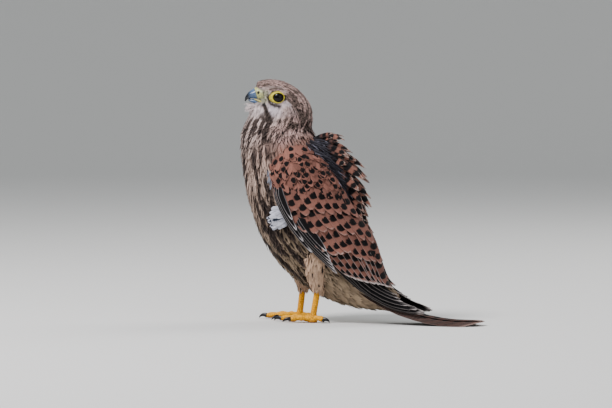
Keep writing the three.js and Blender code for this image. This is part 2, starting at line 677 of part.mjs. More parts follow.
function hangHead(body) {
  const group = hangGroup(NECK_X, 0, HEAD_TURN);
  const sides = Object.entries(SIDES);
  const upperRoom = sectionLoft(UPPER_BILL, BILL_SIDES, GAP);
  const lowerRoom = sectionLoft(LOWER_BILL, BILL_SIDES, GAP);
  const cere = sectionLoft(CERE, CERE_SIDES);
  hang("cere", without(cere, [upperRoom, lowerRoom, ...sides.map(([, side]) => nostril(side))]), "cere", group);
  hang("bill_upper", sectionLoft(UPPER_BILL, BILL_SIDES), "horn", group);
  hang("bill_lower", sectionLoft(LOWER_BILL, BILL_SIDES).subtract(upperRoom), "horn", group);
  const rooms = [upperRoom, lowerRoom, sectionLoft(CERE, CERE_SIDES, GAP)];
  for (const [name, side] of sides) {
    const centre = new THREE.Vector3(EYE.x, side * EYE.y, EYE.z);
    const axis = new THREE.Vector3(EYE_AXIS[0], side * EYE_AXIS[1], EYE_AXIS[2]).normalize();
    rooms.push(eyeball(centre, GAP), eyeRing(centre, axis, GAP));
    hang(`eye_${name}`, eyeball(centre), "eye", group);
    hang(`eye_ring_${name}`, eyeRing(centre, axis).subtract(eyeball(centre, GAP)), "cere", group);
  }
  hang("head", without(intoGroup(above(body, HEAD_CUT), group), rooms), "streaked", group);
}

// The length of a shank and the matrix that stands it on its foot
function shankPlace({ foot: [x, y], ankle }) {
  const bottom = new THREE.Vector3(x, y, TARSUS.foot);
  const reach = vector(ankle).sub(bottom);
  const length = reach.length() + TARSUS.sunk;
  const lean = new THREE.Quaternion().setFromUnitVectors(new THREE.Vector3(0, 1, 0), reach.normalize());
  return { length, stand: new THREE.Matrix4().compose(bottom, lean, new THREE.Vector3(1, 1, 1)) };
}

function shankRoomOf(leg) {
  const { length, stand } = shankPlace(leg);
  return tarsusBar(length, GAP).transform(stand.elements);
}

// A leg: thigh and shank from the body down, then the foot and its claws
function hangLeg(name, neighbours) {
  const leg = LEGS[name];
  const [x, y] = leg.foot;
  const { length, stand } = shankPlace(leg);
  const shankRoom = shankRoomOf(leg);
  hang(`thigh_${name}`, without(thigh(leg), [...neighbours, shankRoom]), "streaked");
  hang(`tarsus_${name}`, tarsusBar(length), "leg").applyMatrix4(stand);
  const group = hangGroup(x, y, degToRad(leg.turn));
  const toes = TOES.map((size) => ({ toe: size, angle: degToRad(-SIDES[name] * size.turn) }));
  const clawRooms = toes.map(({ angle, toe: size }) => claw(angle, size, GAP));
  const bare = without(foot(toes), [intoGroup(shankRoom, group), ...clawRooms]);
  hang(`foot_${name}`, bare, "leg", group);
  for (const { angle, toe: size } of toes)
    hang(`claw_${size.name}_${name}`, claw(angle, size), "claw", group);
}

const body = wholeBody();
const wingRooms = Object.values(SIDES).map(wingRoom);

hangHead(body);
hang("neck", below(above(body, NECK_CUT), HEAD_CUT), "streaked");
const shankRooms = Object.values(LEGS).map(shankRoomOf);
const neckRoom = above(wholeBody(GAP), NECK_CUT);
const ruffled = union([below(above(body, TAIL_CUT), NECK_CUT), ...mantle().map((vane) => vane.subtract(neckRoom))]);
hang("torso", without(ruffled, [...wingRooms, ...shankRooms]), "streaked");
hang("tail", without(tail(body), wingRooms).trimByPlane([0, 0, 1], 0), "barred");
for (const name of Object.keys(SIDES)) {
  hang(`wing_${name}`, wing(SIDES[name]), "barred");
  hangLeg(name, [wholeBody(GAP), ...wingRooms]);
}

// The origin is under the middle of the whole bird
kestrel.updateMatrixWorld(true);
const middle = new THREE.Box3().setFromObject(kestrel, true).getCenter(new THREE.Vector3());
kestrel.position.set(-middle.x, -middle.y, 0);

export default kestrel;
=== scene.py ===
"""Looks of a life-size common kestrel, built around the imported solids.

Shapes are worked out in millimetres in the bird's own axes: it faces -X, its left side is
towards -Y, and Z is up from the floor.
"""

import logging
import math
from dataclasses import asdict, dataclass, field, replace
from enum import Enum
from typing import Callable, Sequence

import bpy
import numpy as np
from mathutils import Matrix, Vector, kdtree

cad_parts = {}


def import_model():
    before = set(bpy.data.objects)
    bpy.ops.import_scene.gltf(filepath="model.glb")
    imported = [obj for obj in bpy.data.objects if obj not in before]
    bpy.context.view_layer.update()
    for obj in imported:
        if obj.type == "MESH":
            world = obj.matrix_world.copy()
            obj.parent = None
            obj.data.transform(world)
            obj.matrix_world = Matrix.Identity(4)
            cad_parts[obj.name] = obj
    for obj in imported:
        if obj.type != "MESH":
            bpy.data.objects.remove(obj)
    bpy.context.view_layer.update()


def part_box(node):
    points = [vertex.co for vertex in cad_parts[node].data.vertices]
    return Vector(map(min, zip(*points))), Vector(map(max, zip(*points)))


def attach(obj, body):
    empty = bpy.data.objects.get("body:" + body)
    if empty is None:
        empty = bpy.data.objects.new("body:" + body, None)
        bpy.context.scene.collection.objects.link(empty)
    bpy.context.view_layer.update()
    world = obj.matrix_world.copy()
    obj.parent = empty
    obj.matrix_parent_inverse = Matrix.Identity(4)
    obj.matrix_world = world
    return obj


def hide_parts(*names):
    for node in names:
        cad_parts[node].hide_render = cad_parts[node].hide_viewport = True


Array = np.ndarray
Two = tuple[Array, Array]
Rng = np.random.Generator
Piece = bpy.types.Object
log = logging.getLogger("kestrel")

MM = 0.001
NECK_X = -18.0
HEAD_TURN = math.radians(20.0)
EYE_PLACE = (-4.6, 11.3, 223.4)


class Side(Enum):
    """Left is towards -Y."""

    LEFT = -1
    RIGHT = 1


def ease(low: float, high: float, x: Array) -> Array:
    """A smooth step from 0 at low to 1 at high."""
    s = np.clip((np.asarray(x, float) - low) / (high - low), 0.0, 1.0)
    return s * s * (3.0 - 2.0 * s)


def mix(a: Array, b: Array, share: Array) -> Array:
    """A value between a and b."""
    return a + (b - a) * share


def along_rows(table: Array, t: Array) -> Array:
    """Rows of a table at places between them, by a Catmull-Rom curve.

    Args:
        table: One row for each whole step.
        t: Places, in rows.

    Returns:
        The shape of t with the table's columns added.
    """
    t = np.asarray(t, float)
    i = np.clip(np.floor(t).astype(int), 0, len(table) - 2)
    f = (t - i)[..., None]
    b, c = table[i], table[i + 1]
    a = np.where(i[..., None] > 0, table[np.maximum(i - 1, 0)], 2 * b - c)
    d = np.where(i[..., None] + 2 < len(table), table[np.minimum(i + 2, len(table) - 1)], 2 * c - b)
    return b + 0.5 * f * (c - a + f * (2 * a - 5 * b + 4 * c - d + f * (3 * (b - c) + d - a)))


def unit(v: Array) -> Array:
    """Vectors at length 1."""
    return v / np.maximum(np.linalg.norm(v, axis=-1, keepdims=True), 1e-9)


def grain(x: Array, y: Array, seed: float) -> Array:
    """Smooth noise from 0 to 1 with features one unit across."""
    i, j = np.floor(x), np.floor(y)
    f, g = x - i, y - j
    f, g = f * f * (3 - 2 * f), g * g * (3 - 2 * g)

    def corner(a: Array, b: Array) -> Array:
        """A fixed draw for each corner of the lattice."""
        h = np.sin(a * 127.1 + b * 311.7 + seed * 74.7) * 43758.5453
        return h - np.floor(h)

    low = mix(corner(i, j), corner(i + 1, j), f)
    high = mix(corner(i, j + 1), corner(i + 1, j + 1), f)
    return mix(low, high, g)


def linear(code: str) -> tuple[float, float, float]:
    """An sRGB hex value as linear light."""
    values = [int(code[i : i + 2], 16) / 255.0 for i in (1, 3, 5)]
    return tuple(v / 12.92 if v <= 0.04045 else ((v + 0.055) / 1.055) ** 2.4 for v in values)


def tint(code: str) -> Array:
    """A hex value as a linear row."""
    return np.array(linear(code))


def stacked(*parts: Array) -> Array:
    """Parts side by side in a last axis; those that are one number count for every place."""
    return np.stack(np.broadcast_arrays(*parts), axis=-1)


def quads(*corners: Array) -> Array:
    """Rows of four vertex numbers from the grids of their corners."""
    return stacked(*corners).reshape(-1, 4)


def profile(x: Array, points: Sequence[tuple[float, float]]) -> Array:
    """Values at x, read from straight lines between points of place and value."""
    places, values = zip(*points)
    return np.interp(x, places, values)


def between(x: Array, rise: tuple[float, float], fall: tuple[float, float]) -> Array:
    """1 inside a stretch and 0 outside it, with soft ends."""
    return ease(*rise, x) * (1 - ease(*fall, x))


def wide(share: Array) -> Array:
    """A share for each place, ready to weigh rows of colour."""
    return np.asarray(share)[..., None]


def spaced(first: tuple, second: tuple, closed: bool = False) -> Two:
    """Two grids of coordinates.

    Args:
        first: Start, end and count along the rows.
        second: The same along the columns.
        closed: Whether the columns run round, so that the end is the start again.

    Returns:
        The first and the second coordinate at each crossing.
    """
    return np.meshgrid(np.linspace(*first), np.linspace(*second, endpoint=not closed), indexing="ij")


def unwrapped(p: Array, q: Array, end: float) -> Array:
    """Places on the bake map, by an unwrap of a surface that runs to p = end and once round in q."""
    return stacked(0.01 + 0.98 * q / (2 * np.pi), 0.01 + 0.98 * p / end)


def numbered(number: Array) -> Array:
    """Places on the bake map of large feathers, in a sheet of 12 by 8 patches."""
    return stacked((number % 12 + 0.5) / 12.0, (number // 12 + 0.5) / 8.0)


class Place:
    """Turns the bird's own millimetres into the frame's metres."""

    shift = np.zeros(3)

    @classmethod
    def settle(cls) -> None:
        """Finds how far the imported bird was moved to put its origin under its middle."""
        low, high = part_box("eye_left")
        eye = turn_about_neck(np.array([NECK_X + EYE_PLACE[0], -EYE_PLACE[1], EYE_PLACE[2]]), HEAD_TURN)
        middle = (np.array(low) + np.array(high)) / 2 / MM
        cls.shift = np.array([middle[0] - eye[0], middle[1] - eye[1], 0.0])

    @classmethod
    def metres(cls, points: Array) -> Array:
        """Points in the frame's metres."""
        return (points + cls.shift) * MM

    @classmethod
    def on_head(cls, obj: Piece) -> Array:
        """A piece's points in millimetres from the neck's line, with the head's turn taken out."""
        local = np.array([v.co for v in obj.data.vertices]) / MM - cls.shift
        return turn_about_neck(local, -HEAD_TURN) - np.array([NECK_X, 0.0, 0.0])


def turn_about_neck(points: Array, turn: Array) -> Array:
    """Turns points about the neck's upright line.

    Args:
        points: Points in millimetres.
        turn: Angle for each point, or one for all.

    Returns:
        The turned points.
    """
    x = points[..., 0] - NECK_X
    y = points[..., 1]
    c, s = np.cos(turn), np.sin(turn)
    return stacked(NECK_X + c * x - s * y, s * x + c * y, points[..., 2])


@dataclass
class Surface:
    """A surface with two coordinates: p runs against the lie of the feathers, q across it."""

    outward: float = 1.0
    probe: float = 0.02
    least: float = 0.3

    def point(self, p: Array, q: Array) -> Array:
        """A point of the surface. Each kind of surface has its own."""
        raise NotImplementedError

    def frame(self, p: Array, q: Array) -> tuple[Array, Array, Array, Array, Array]:
        """Where a place is and how the surface runs there.

        Args:
            p: First coordinate.
            q: Second coordinate.

        Returns:
            The point, the outward normal, the way of growing p and of growing q, and the
            millimetres for one unit of each, as one array of two columns.
        """
        step = self.probe
        dp = (self.point(p + step, q) - self.point(p - step, q)) / (2 * step)
        dq = (self.point(p, q + step) - self.point(p, q - step)) / (2 * step)
        size = stacked(np.linalg.norm(dp, axis=-1), np.linalg.norm(dq, axis=-1))
        normal = unit(np.cross(dq, dp)) * self.outward
        return self.point(p, q), normal, unit(dp), unit(dq), np.maximum(size, self.least)


BODY_SECTIONS = [
    # ventral x, z, dorsal x, z, half width, share of the head's turn, egg
    (98, 13, 104, 27, 8, 0, 0),
    (77, 14, 92, 41, 13, 0, 0),
    (55, 17, 82, 56, 19, 0, 0),
    (36, 22, 74, 72, 25, 0, 0),
    (16, 31, 66, 90, 30, 0, 0),
    (-5, 45, 58, 109, 34, 0, 0),
    (-25, 64, 50, 128, 36.5, 0, 0),
    (-40, 87, 41, 147, 37.5, 0, 0),
    (-50, 113, 30, 163, 37, 0, 0),
    (-56, 141, 20, 176, 35, 0.05, 0),
    (-59, 164, 12, 187, 31, 0.25, 0),
    (-60, 181, 10, 194, 27, 0.55, 0),
    (-57, 194, 11, 202, 23, 0.85, 0.1),
    (-52, 206, 10.5, 212, 20, 1, 0.2),
    (-51, 212, 5.5, 222, 16.8, 1, 0.32),
    (-49, 215.5, -4, 232, 14.2, 1, 0.42),
    (-47.5, 217.5, -18, 239.5, 11.8, 1, 0.38),
    (-46, 219, -32, 241.5, 8.8, 1, 0.25),
    (-42.5, 221, -42.5, 239.5, 6.8, 1, 0.1),
    (-41, 225, -45, 236, 4.8, 1, 0),
    (-43.5, 229.5, -46.3, 234.2, 2.4, 1, 0),
]
BODY_END = len(BODY_SECTIONS) - 1.0
NECK_TO_HEAD = (11.3, 13.6)
HEAD_THIN = 0.4


@dataclass
class BodySurface(Surface):
    """The body from the tail coverts (p = 0) to the bill (p = 20); q is the angle from the back."""

    sections: Array = field(default_factory=lambda: np.array(BODY_SECTIONS, float))
    depth: float = 0.0
    deepest: float = 0.4

    def point(self, p: Array, q: Array) -> Array:
        """A point of the coat's surface, or depth millimetres under it."""
        row = along_rows(self.sections, np.clip(p, 0, len(self.sections) - 1))
        low, high = row[..., 0:2], row[..., 2:4]
        half = (high - low) / 2
        reach = np.linalg.norm(half, axis=-1, keepdims=True)
        thin = mix(1.0, HEAD_THIN, ease(*NECK_TO_HEAD, p))
        inset = np.minimum(self.depth * thin, self.deepest * row[..., 4])
        half = half * (1 - inset[..., None] / reach)
        middle = (low + high) / 2 + half * np.cos(q)[..., None]
        y = (row[..., 4] - inset) * np.sin(q) * (1 + row[..., 6] * np.cos(q))
        points = stacked(middle[..., 0], y, middle[..., 1])
        return turn_about_neck(points, row[..., 5] * HEAD_TURN)


WING_LEADING = [
    (-22, 30.5, 162), (-15, 36, 138), (-4, 37.5, 113), (14, 35.5, 87),
    (39, 30.5, 63), (68, 24.5, 37.5), (102, 19, 19), (143, 13, 9.5),
]
WING_MIDDLE = [
    (3, 29.5, 173), (18, 37, 143), (32, 39, 114), (51, 38, 87),
    (69, 33.5, 60.5), (85, 26, 37), (111, 18, 20.5), (146, 12, 11.5),
]
WING_TRAILING = [
    (16, 13, 172), (40, 15, 140), (59, 14, 109), (78, 11.5, 82),
    (86, 9.5, 56), (95, 8, 34), (118, 8, 21), (147, 8.5, 13),
]


@dataclass
class WingSurface(Surface):
    """A folded wing: p is -1 times the share of its length, q the share of its width."""

    side: Side = Side.LEFT
    arm_top: float = 6.5
    arm_bottom: float = 7.0
    arm_end: float = 0.62
    plate: tuple = (0.4, 0.6)
    further: float = 9.0
    further_from: tuple = (0.12, 0.4)
    further_to: tuple = (0.5, 1.0)

    def __post_init__(self) -> None:
        """Works out which way is outwards."""
        self.outward = -float(self.side.value)
        self.lines = [np.array(line, float) for line in (WING_LEADING, WING_MIDDLE, WING_TRAILING)]

    def point(self, p: Array, q: Array) -> Array:
        """A point on the wing's own lines."""
        u = -np.asarray(p, float) * (len(self.lines[0]) - 1)
        weights = [(1 - q) * (1 - 2 * q), 4 * q * (1 - q), q * (2 * q - 1)]
        total = sum(w[..., None] * along_rows(line, u) for w, line in zip(weights, self.lines))
        if self.side is Side.RIGHT:
            less = mix(1.0, 0.1, ease(*self.further_to, -p))
            total[..., 0] -= self.further * ease(*self.further_from, -p) * less
        return total * np.array([1.0, self.side.value, 1.0])

    def top(self, p: Array, q: Array) -> Array:
        """How far the flesh stands above the lines."""
        u = -p
        length = ease(-0.04, 0.1, u) * (1 - ease(0.12, self.arm_end + 0.04, u))
        width = ease(-0.02, 0.16, q) * (1 - 0.7 * ease(0.9, 1.06, q))
        return self.plate[0] + self.arm_top * length * width

    def bottom(self, p: Array, q: Array) -> Array:
        """How far the flesh reaches below the lines."""
        length = 1 - ease(0.3, self.arm_end, -p)
        width = ease(-0.02, 0.2, q) * (1 - ease(0.85, 1.02, q))
        return self.plate[1] + self.arm_bottom * length * width


@dataclass
class ThighSurface(Surface):
    """A thigh: p runs from the ankle (0) to the hip (1), q is the angle round it."""

    hip: tuple = (27, -20, 80)
    knee: tuple = (26, -21, 55)
    ankle: tuple = (26.5, -19, 33)
    radii: tuple = (5.6, 11, 14, 13)
    depth: float = 0.0

    def point(self, p: Array, q: Array) -> Array:
        """A point of the thigh's coat, or depth millimetres under it."""
        p = np.asarray(p, float)
        line = along_rows(np.array([self.ankle, self.knee, self.hip], float), p * 2)
        radius = along_rows(np.array(self.radii, float)[:, None], p * 3)[..., 0] - self.depth
        x, y = radius * np.cos(q), radius * np.sin(q)
        return line + stacked(x, y, 0.0)


@dataclass
class Vanes:
    """Thin vanes gathered as arrays, to be made one mesh."""

    points: list = field(default_factory=list)
    faces: list = field(default_factory=list)
    maps: dict = field(default_factory=lambda: {k: [] for k in ("lay", "form", "ground", "mark", "pattern")})
    bake: list = field(default_factory=list)
    total: int = 0

    def add(self, grid: Array, bake: Array, **maps: Array) -> None:
        """Adds N vanes of K by C points.

        Args:
            grid: The points, N x K x C x 3, rows from root to tip.
            bake: Places on the bake map, N x K x C x 2.
            maps: The named vectors of each point.
        """
        n, rows, columns, _ = grid.shape
        base = self.total + np.arange(n)[:, None, None] * rows * columns
        k = np.arange(rows - 1)[None, :, None] * columns
        c = np.arange(columns - 1)[None, None, :]
        a = base + k + c
        self.faces.append(quads(a, a + 1, a + 1 + columns, a + columns))
        self.points.append(grid.reshape(-1, 3))
        self.bake.append(bake.reshape(-1, 2))
        for name, values in maps.items():
            self.maps[name].append(np.broadcast_to(values, grid.shape).reshape(-1, 3))
        self.total += n * rows * columns

    def build(self, name: str) -> Piece:
        """Makes the mesh object."""
        points = np.concatenate(self.points)
        faces = np.concatenate(self.faces)
        maps = {k: np.concatenate(v) for k, v in self.maps.items() if v}
        obj = mesh_object(name, points, faces, maps)
        layer = obj.data.uv_layers.new(name="OFBake")
        layer.data.foreach_set("uv", np.concatenate(self.bake)[faces.ravel()].astype(np.float32).ravel())
        return obj


def mesh_object(name: str, points: Array, faces: Array, maps: dict | None = None) -> Piece:
    """A smooth mesh object from arrays.

    Args:
        name: The piece's name.
        points: Millimetres in the bird's axes.
        faces: Rows of vertex numbers, all as long as each other.
        maps: Named vectors, one for each point.

    Returns:
        The object, linked into the scene.
    """
    mesh = bpy.data.meshes.new(name)
    mesh.vertices.add(len(points))
    mesh.vertices.foreach_set("co", Place.metres(points).astype(np.float32).ravel())
    mesh.loops.add(faces.size)
    mesh.polygons.add(len(faces))
    mesh.polygons.foreach_set("loop_start", np.arange(0, faces.size, faces.shape[1], dtype=np.int32))
    mesh.polygons.foreach_set("vertices", faces.astype(np.int32).ravel())
    mesh.update(calc_edges=True)
    mesh.polygons.foreach_set("use_smooth", np.ones(len(faces), dtype=bool))
    for key, values in (maps or {}).items():
        attribute = mesh.attributes.new(key, "FLOAT_VECTOR", "POINT")
        attribute.data.foreach_set("vector", values.astype(np.float32).ravel())
    obj = bpy.data.objects.new(name, mesh)
    bpy.context.scene.collection.objects.link(obj)
    return obj


def loft_faces(rings: int, sides: int) -> Array:
    """Quads of a closed tube through rings of points, without its ends."""
    i = np.arange(rings - 1)[:, None] * sides
    k = np.arange(sides)[None, :]
    after = (k + 1) % sides
    return quads(i + k, i + after, i + sides + after, i + sides + k)


def add_node(tree: bpy.types.NodeTree, kind: str, settings: dict | None = None, **links) -> bpy.types.Node:
    """Adds a shader node.

    Args:
        tree: The material's node tree.
        kind: The node's type name.
        settings: Properties of the node.
        links: Values or sockets for inputs, by name, or by i and a number.

    Returns:
        The node.
    """
    node = tree.nodes.new(kind)
    for key, value in (settings or {}).items():
        setattr(node, key, value)
    for key, value in links.items():
        by_number = key[0] == "i" and key[1:].isdigit()
        socket = node.inputs[int(key[1:]) if by_number else key.replace("_", " ")]
        if isinstance(value, bpy.types.NodeSocket):
            tree.links.new(value, socket)
        else:
            socket.default_value = value
    return node


NARROW = (-1.0, 0.0, 1.0)


@dataclass(frozen=True)
class Cut:
    """The outline of one kind of feather, and how it lies."""

    stations: tuple = (0.0, 0.18, 0.36, 0.54, 0.72, 0.88, 1.0)
    widths: tuple = (0.35, 0.7, 0.92, 1.0, 0.94, 0.7, 0.3)
    columns: tuple = (-1.0, -0.45, 0.0, 0.45, 1.0)
    camber: float = 0.16
    ragged: float = 0.06
    root: float = -1.2
    shaft: float = 0.0
    out_by: float = 0.3

    def early(self) -> Array:
        """The share, at each station, by which the feather has come out of the coat."""
        return np.minimum(1.0, np.array(self.stations) / self.out_by)

    def height(self, middle: Array, tip: Array) -> Array:
        """Heights over the surface at the stations, from those of the middle and of the tip."""
        late = np.clip((np.array(self.stations) - self.out_by) / (1 - self.out_by), 0.0, 1.0)
        return mix(self.root, middle, self.early()) + (tip - middle) * late


@dataclass
class Coat:
    """Lays feathers on a surface, every one along its lie."""

    surface: Surface
    rng: Rng
    edge_paint: float = 0.7
    shaded_root_to_lit_tip: tuple = (0.8, 1.1)
    shift_mm: float = 1.6

    def lay(self, vanes: Vanes, cut: Cut, p: Array, q: Array, *, way: Array, rise: Array, length: Array,
            width: Array, ground: Array, base: Callable | None = None, paint: Callable | None = None,
            **looks: Array) -> None:
        """Adds one feather for each root.

        Args:
            vanes: Where they go.
            cut: Their outline.
            p: Roots along the surface.
            q: Roots across it.
            way: Angle of the lie from straight back, towards growing q.
            rise: Height of the middle and of the tip over the surface, in two columns.
            length: Millimetres.
            width: Millimetres.
            ground: Colour of each feather, or its shade where paint gives the colour.
            base: Gives the height of the flesh at places, if the surface isn't its own top.
            paint: Gives the surface's colour at places, its painted shade included, if it has markings that run over
                its feathers.
            looks: The rest of what spread takes.
        """
        _, _, _, _, size = self.surface.frame(p, q)
        s = np.array(cut.stations)
        dp = -np.cos(way) * length / size[:, 0]
        dq = np.sin(way) * length / size[:, 1]
        ps, qs = p[:, None] + dp[:, None] * s, q[:, None] + dq[:, None] * s
        middle, normal, _, _, _ = self.surface.frame(ps, qs)
        high = cut.height(rise[:, 0:1], rise[:, 1:2])
        if base is not None:
            high = high + base(ps, qs)
        if paint is not None:
            half = np.array(cut.widths)[:, None] * np.array(cut.columns) / 2
            reach = half * width[:, None, None] / size[:, 1, None, None]
            beside = self.surface.point(p, q + self.surface.probe) - self.surface.point(p, q)
            side = np.sign(np.sum(np.cross(middle[:, -1] - middle[:, 0], normal[:, 0]) * beside, axis=-1))
            beside = qs[:, :, None] + self.edge_paint * reach * side[:, None, None]
            local = paint(ps[:, :, None] + 0 * reach, beside)
            # Painted shade at the roots, where the feathers overlap, and painted light at the tips; the roots are also
            # partly grey down.
            ground = local * ground[:, None, None, :] * mix(*self.shaded_root_to_lit_tip, s)[None, :, None, None]
        spine = middle + normal * high[..., None]
        self.spread(vanes, cut, spine, normal, length=length, width=width, ground=ground, **looks)

    def spread(self, vanes: Vanes, cut: Cut, spine: Array, normal: Array, *, length: Array, width: Array,
               bake: Array, ground: Array, mark: Array | None = None, pattern: Array = (0.0, 0.0, 0.0),
               roll: float = 0.0, patch: Sequence = (0.003, 0.003)) -> None:
        """Spreads vanes to both sides of given shafts.

        Args:
            vanes: Where they go.
            cut: Their outline.
            spine: Points of each shaft, N x K x 3.
            normal: The way outwards at each.
            length: Millimetres.
            width: Millimetres.
            bake: The root's place on the bake map, in two columns.
            ground: Colour of each feather.
            mark: Colour of its marks, if it isn't the same.
            pattern: Streak, bar and fringe shares.
            roll: Millimetres that one edge stands above the middle.
            patch: How wide and how long a feather's patch on the bake map is.
        """
        n, rows = spine.shape[:2]
        length, width, roll = (np.broadcast_to(values, (n,)) for values in (length, width, roll))
        normal = np.broadcast_to(normal, spine.shape)
        c = np.array(cut.columns)
        s = np.array(cut.stations)
        run = unit(np.gradient(spine, axis=1))
        across = unit(np.cross(run, normal))
        up = unit(np.cross(across, run))
        half = np.array(cut.widths)[None, :, None] * width[:, None, None] / 2
        reach = half * c
        ridge = cut.shaft * (np.abs(c) < 0.01) * (1 - 0.7 * s)[:, None]
        tilt = roll[:, None, None] * c * cut.early()[:, None]
        lift = ridge - cut.camber * half * c**2 - tilt
        edge = c**2 + (s > 0.9)[:, None]
        fray = cut.ragged * length[:, None, None] * edge * self.rng.uniform(-1, 1, (n, rows, len(c)))
        grid = (
            spine[:, :, None, :]
            + across[:, :, None, :] * reach[..., None]
            + up[:, :, None, :] * lift[..., None]
            + run[:, :, None, :] * fray[..., None]
        )

        def full(values: Array) -> Array:
            """Values repeated for every point of the vanes."""
            return np.broadcast_to(values, reach.shape)

        def rows_of(values: Array) -> Array:
            """Values for all feathers, for each one or for each point, made ready for the points."""
            values = np.atleast_2d(values)
            return values if values.ndim == 4 else values[:, None, None, :]

        seed = self.rng.uniform(0, 90, n)
        tip = (1 - s)[None, :, None] * length[:, None, None] - fray
        lay = stacked(reach, full(tip), full(seed[:, None, None]))
        shift = self.rng.uniform(-self.shift_mm, self.shift_mm, n)
        form = stacked(full(half), full(length[:, None, None]), full(shift[:, None, None]))
        spot = stacked(full(c / 2), full((s - 0.5)[:, None]))
        mark = ground if mark is None else mark
        vanes.add(grid, bake[:, None, None, :] + spot * np.array(patch), lay=lay, form=form,
                  ground=rows_of(ground), mark=rows_of(mark), pattern=rows_of(pattern))


@dataclass(frozen=True)
class Colours:
    """The plumage's colours, in sRGB. The vent's is darkened in part as painted shade, and the dark is also painted as
    shade under the eye.
    """

    breast: str = "#b0978a"
    throat: str = "#c9bab8"
    # Darkened in part as painted shade under the body.
    vent: str = "#9c876e"
    thigh: str = "#bb9b80"
    streak: str = "#140c0b"
    crown: str = "#bd9c95"
    crown_streak: str = "#1a0e0d"
    cheek: str = "#c6bbc0"
    ear: str = "#a68c84"
    # Also painted as the shade under the eye.
    dark: str = "#0d0808"
    lore: str = "#a9a78c"
    brow: str = "#b5a9a6"
    mantle: str = "#7f5548"
    wing: str = "#84584c"
    spot: str = "#080506"
    flight: str = "#0c0a0c"
    fringe: str = "#b59b92"
    white: str = "#c3c4cf"
    tail: str = "#4a2f27"
    down: str = "#45444c"


COLOURS = Colours()


@dataclass(frozen=True)
class FaceLine:
    """A dark line of the face: its points in x and z, where it fades from and to, and its share."""

    points: tuple
    near: float
    far: float
    share: float


FACE_LINES = (
    # The moustache in two parts, then the line behind the eye
    FaceLine(((-19, 216), (-17, 211), (-15.5, 206)), 1.4, 2.8, 1.0),
    FaceLine(((-15.5, 207), (-14, 201), (-13, 193)), 2.4, 4.0, 1.0),
    FaceLine(((2.5, 225.5), (7, 220.4), (12, 214.8), (17, 208.6), (20, 202)), 0.6, 1.7, 1.0),
    # The shade under the eye, the rear edge of the cheek and the line over the eye
    FaceLine(((-15, 224), (-12.5, 217.5), (-8, 214.8), (-3, 215)), 0.7, 2.4, 0.85),
    FaceLine(((16, 208), (17.5, 202), (15, 197), (9, 192), (0, 189)), 0.8, 3.0, 0.55),
    FaceLine(((-13, 231.4), (-8, 232.4), (-1, 231.7)), 0.4, 1.4, 0.9),
)
BROW_LINE = ((-24, 232), (-14, 234), (-3, 233), (4, 228))
CHEEK_TOP = ((-20, 217), (-2, 217), (3, 222), (7, 218.5), (12, 213), (17, 207), (20, 200))


